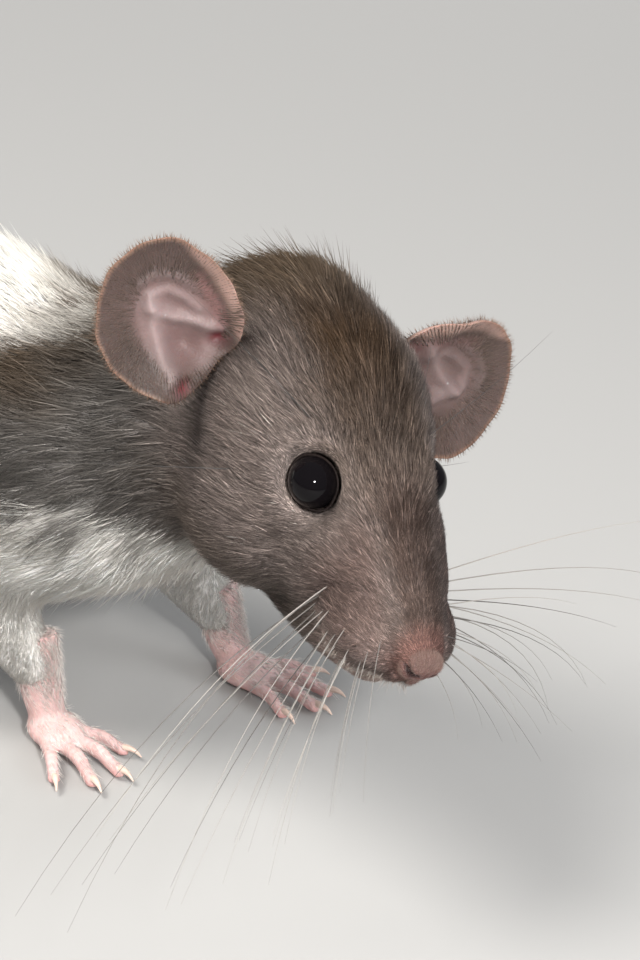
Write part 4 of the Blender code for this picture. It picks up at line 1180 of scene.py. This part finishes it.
# Tail: ringed with scales, with fine bristles between them
tail = {
    "nodes": ["tail_1", "tail_2", "tail_3", "tail_4"],
    "voxel": 0.5,
    "smooth": 10,
    "ringGap": 0.95,
    "dark": (0.30, 0.185, 0.165, 1),
    "pale": (0.50, 0.345, 0.315, 1),
    "spans": 169,
    "bristles": (5200, 1.9, 0.06, 0.25, (0.52, 0.46, 0.42)),  # count, length, width, lift and colour
}


def ringedTailMaterial():
    material, tree, shader = newMaterial("tail_rings", 0.5, Specular_IOR_Level=0.35)
    ring = addNode(tree, "ShaderNodeAttribute", attribute_name="ringPlace")
    turn = addNode(tree, "ShaderNodeMath", {1: 2 * math.pi / tail["ringGap"]}, operation="MULTIPLY")
    wave = addNode(tree, "ShaderNodeMath", operation="SINE")
    mottle = mottleNode(tree, 300, 2600, 0.5)
    tone = addNode(tree, "ShaderNodeMix", {"A": tail["dark"], "B": tail["pale"]}, data_type="RGBA")
    height = addNode(tree, "ShaderNodeMath", {1: 0.5}, operation="MULTIPLY_ADD")
    relief = addNode(tree, "ShaderNodeBump", {"Strength": 0.6, "Distance": 0.00018})
    wire(
        tree,
        (ring, "Fac", turn, 0),
        (turn, "Value", wave, 0),
        (wave, "Value", tone, "Factor"),
        (tone, "Result", mottle, "Colour"),
        (mottle, "Colour", shader, "Base Color"),
        (wave, "Value", height, 0),
        (mottle, "Height", height, 2),
        (height, "Value", relief, "Height"),
        (relief, "Normal", shader, "Normal"),
    )
    return material


def makeTail():
    shapes = [nodeShape(name, 0.3 * mm) for name in tail["nodes"]]
    points, faces, edges = remeshed(*joined(shapes), tail["voxel"] * mm)
    points = overFloor(averaged(points, edges, tail["smooth"]) - (0, 0, 0.05 * mm))
    spans = tail["spans"]
    marks = np.linspace(points[:, 0].max(), points[:, 0].min(), spans + 1)
    span = np.clip(np.digitize(-points[:, 0], -marks) - 1, 0, spans - 1)
    counts = np.bincount(span, minlength=spans)
    centres = np.stack([np.bincount(span, column, spans) for column in points.T], axis=1)
    centres = centres[counts > 0] / counts[counts > 0][:, None]
    steps = lengthOf(np.diff(centres, axis=0))
    travelled = np.concatenate([[0], np.cumsum(steps)])
    ways = unit(np.gradient(centres, axis=0))
    nearest = np.argmin(((points[:, None] - centres[None]) ** 2).sum(axis=2), axis=1)
    place = travelled[nearest] + np.sum((points - centres[nearest]) * ways[nearest], axis=1)
    values = {"ringPlace": place / mm}
    makePiece("tail_skin", points, faces, ringedTailMaterial(), tail["nodes"], values)
    normals = pointNormals(points, faces)
    even = np.ones(len(points))
    dustHairs("tail_bristles", points, faces, normals, ways[nearest], even, *tail["bristles"], "tail_1")


makeTail()
print("tail")


# Floor, light and camera
view = {
    "azimuth": 12.0,
    "elevation": 28.0,
    "roll": 6.0,
    "away": 400.0,
    "pixel": 0.107,
    "eyesAt": (367.5, 482.0),
    "frame": (640, 960),
}
# Where each light stands, in metres from the eyes to the right, up and to the camera, its size, its
# power and its colour.
lights = [
    ("key", (-0.28, 0.42, 0.30), 0.30, 4.7, (1.0, 0.97, 0.93)),
    ("fill", (0.45, 0.12, 0.30), 0.45, 2.3, (0.95, 0.97, 1.0)),
    ("flash", (0.07, 0.03, 0.40), 0.045, 2.2, (1.0, 0.98, 0.96)),
    ("back", (0.10, 0.40, -0.45), 0.35, 1.4, (1.0, 1.0, 1.0)),
]


def cameraAxes():
    turn, tilt, roll = (math.radians(view[key]) for key in ("azimuth", "elevation", "roll"))
    back = Vector((math.sin(turn) * math.cos(tilt), -math.cos(turn) * math.cos(tilt), math.sin(tilt)))
    right = Vector((math.cos(turn), math.sin(turn), 0))
    up = back.cross(right)
    across = right * math.cos(roll) + up * math.sin(roll)
    return across, up * math.cos(roll) - right * math.sin(roll), back


def makeView():
    right, up, back = cameraAxes()
    wide, tall = view["frame"]
    pixel = view["pixel"] * mm
    across, down = view["eyesAt"]
    middle = Vector(midEye) + right * (wide / 2 - across) * pixel + up * (down - tall / 2) * pixel
    data = bpy.data.cameras.new("camera")
    data.sensor_fit = "VERTICAL"
    data.sensor_height = 24
    data.lens = 24 * view["away"] * mm / (tall * pixel)
    data.clip_start = 0.02
    camera = newObject("camera", data)
    turned = Matrix((right, up, back)).transposed().to_4x4()
    turned.translation = middle + back * view["away"] * mm
    camera.matrix_world = turned
    bpy.context.scene.camera = camera
    for name, (x, y, z), size, power, colour in lights:
        lamp = bpy.data.lights.new(name, "AREA")
        lamp.shape = "DISK"
        lamp.size = size
        lamp.energy = power
        lamp.color = colour
        spot = newObject(name, lamp)
        spot.visible_glossy = name == "flash"
        spot.location = Vector(midEye) + right * x + up * y + back * z
        spot.rotation_euler = (spot.location - Vector(midEye)).to_track_quat("Z", "Y").to_euler()


def makeFloor():
    bpy.ops.mesh.primitive_plane_add(size=6, location=(0, 0, -0.0002))
    floor = bpy.context.active_object
    floor.name = "floor"
    floor.data.materials.append(newMaterial("floor_paper", 0.8, Base_Color=(0.35, 0.346, 0.338, 1))[0])
    world = bpy.data.worlds.new("studio")
    world.use_nodes = True
    sky = world.node_tree.nodes["Background"]
    sky.inputs["Color"].default_value = (0.80, 0.82, 0.85, 1)
    sky.inputs["Strength"].default_value = 0.32
    bpy.context.scene.world = world
    bpy.context.scene.view_settings.view_transform = "Standard"


makeFloor()
makeView()
print("floor, lights and camera")
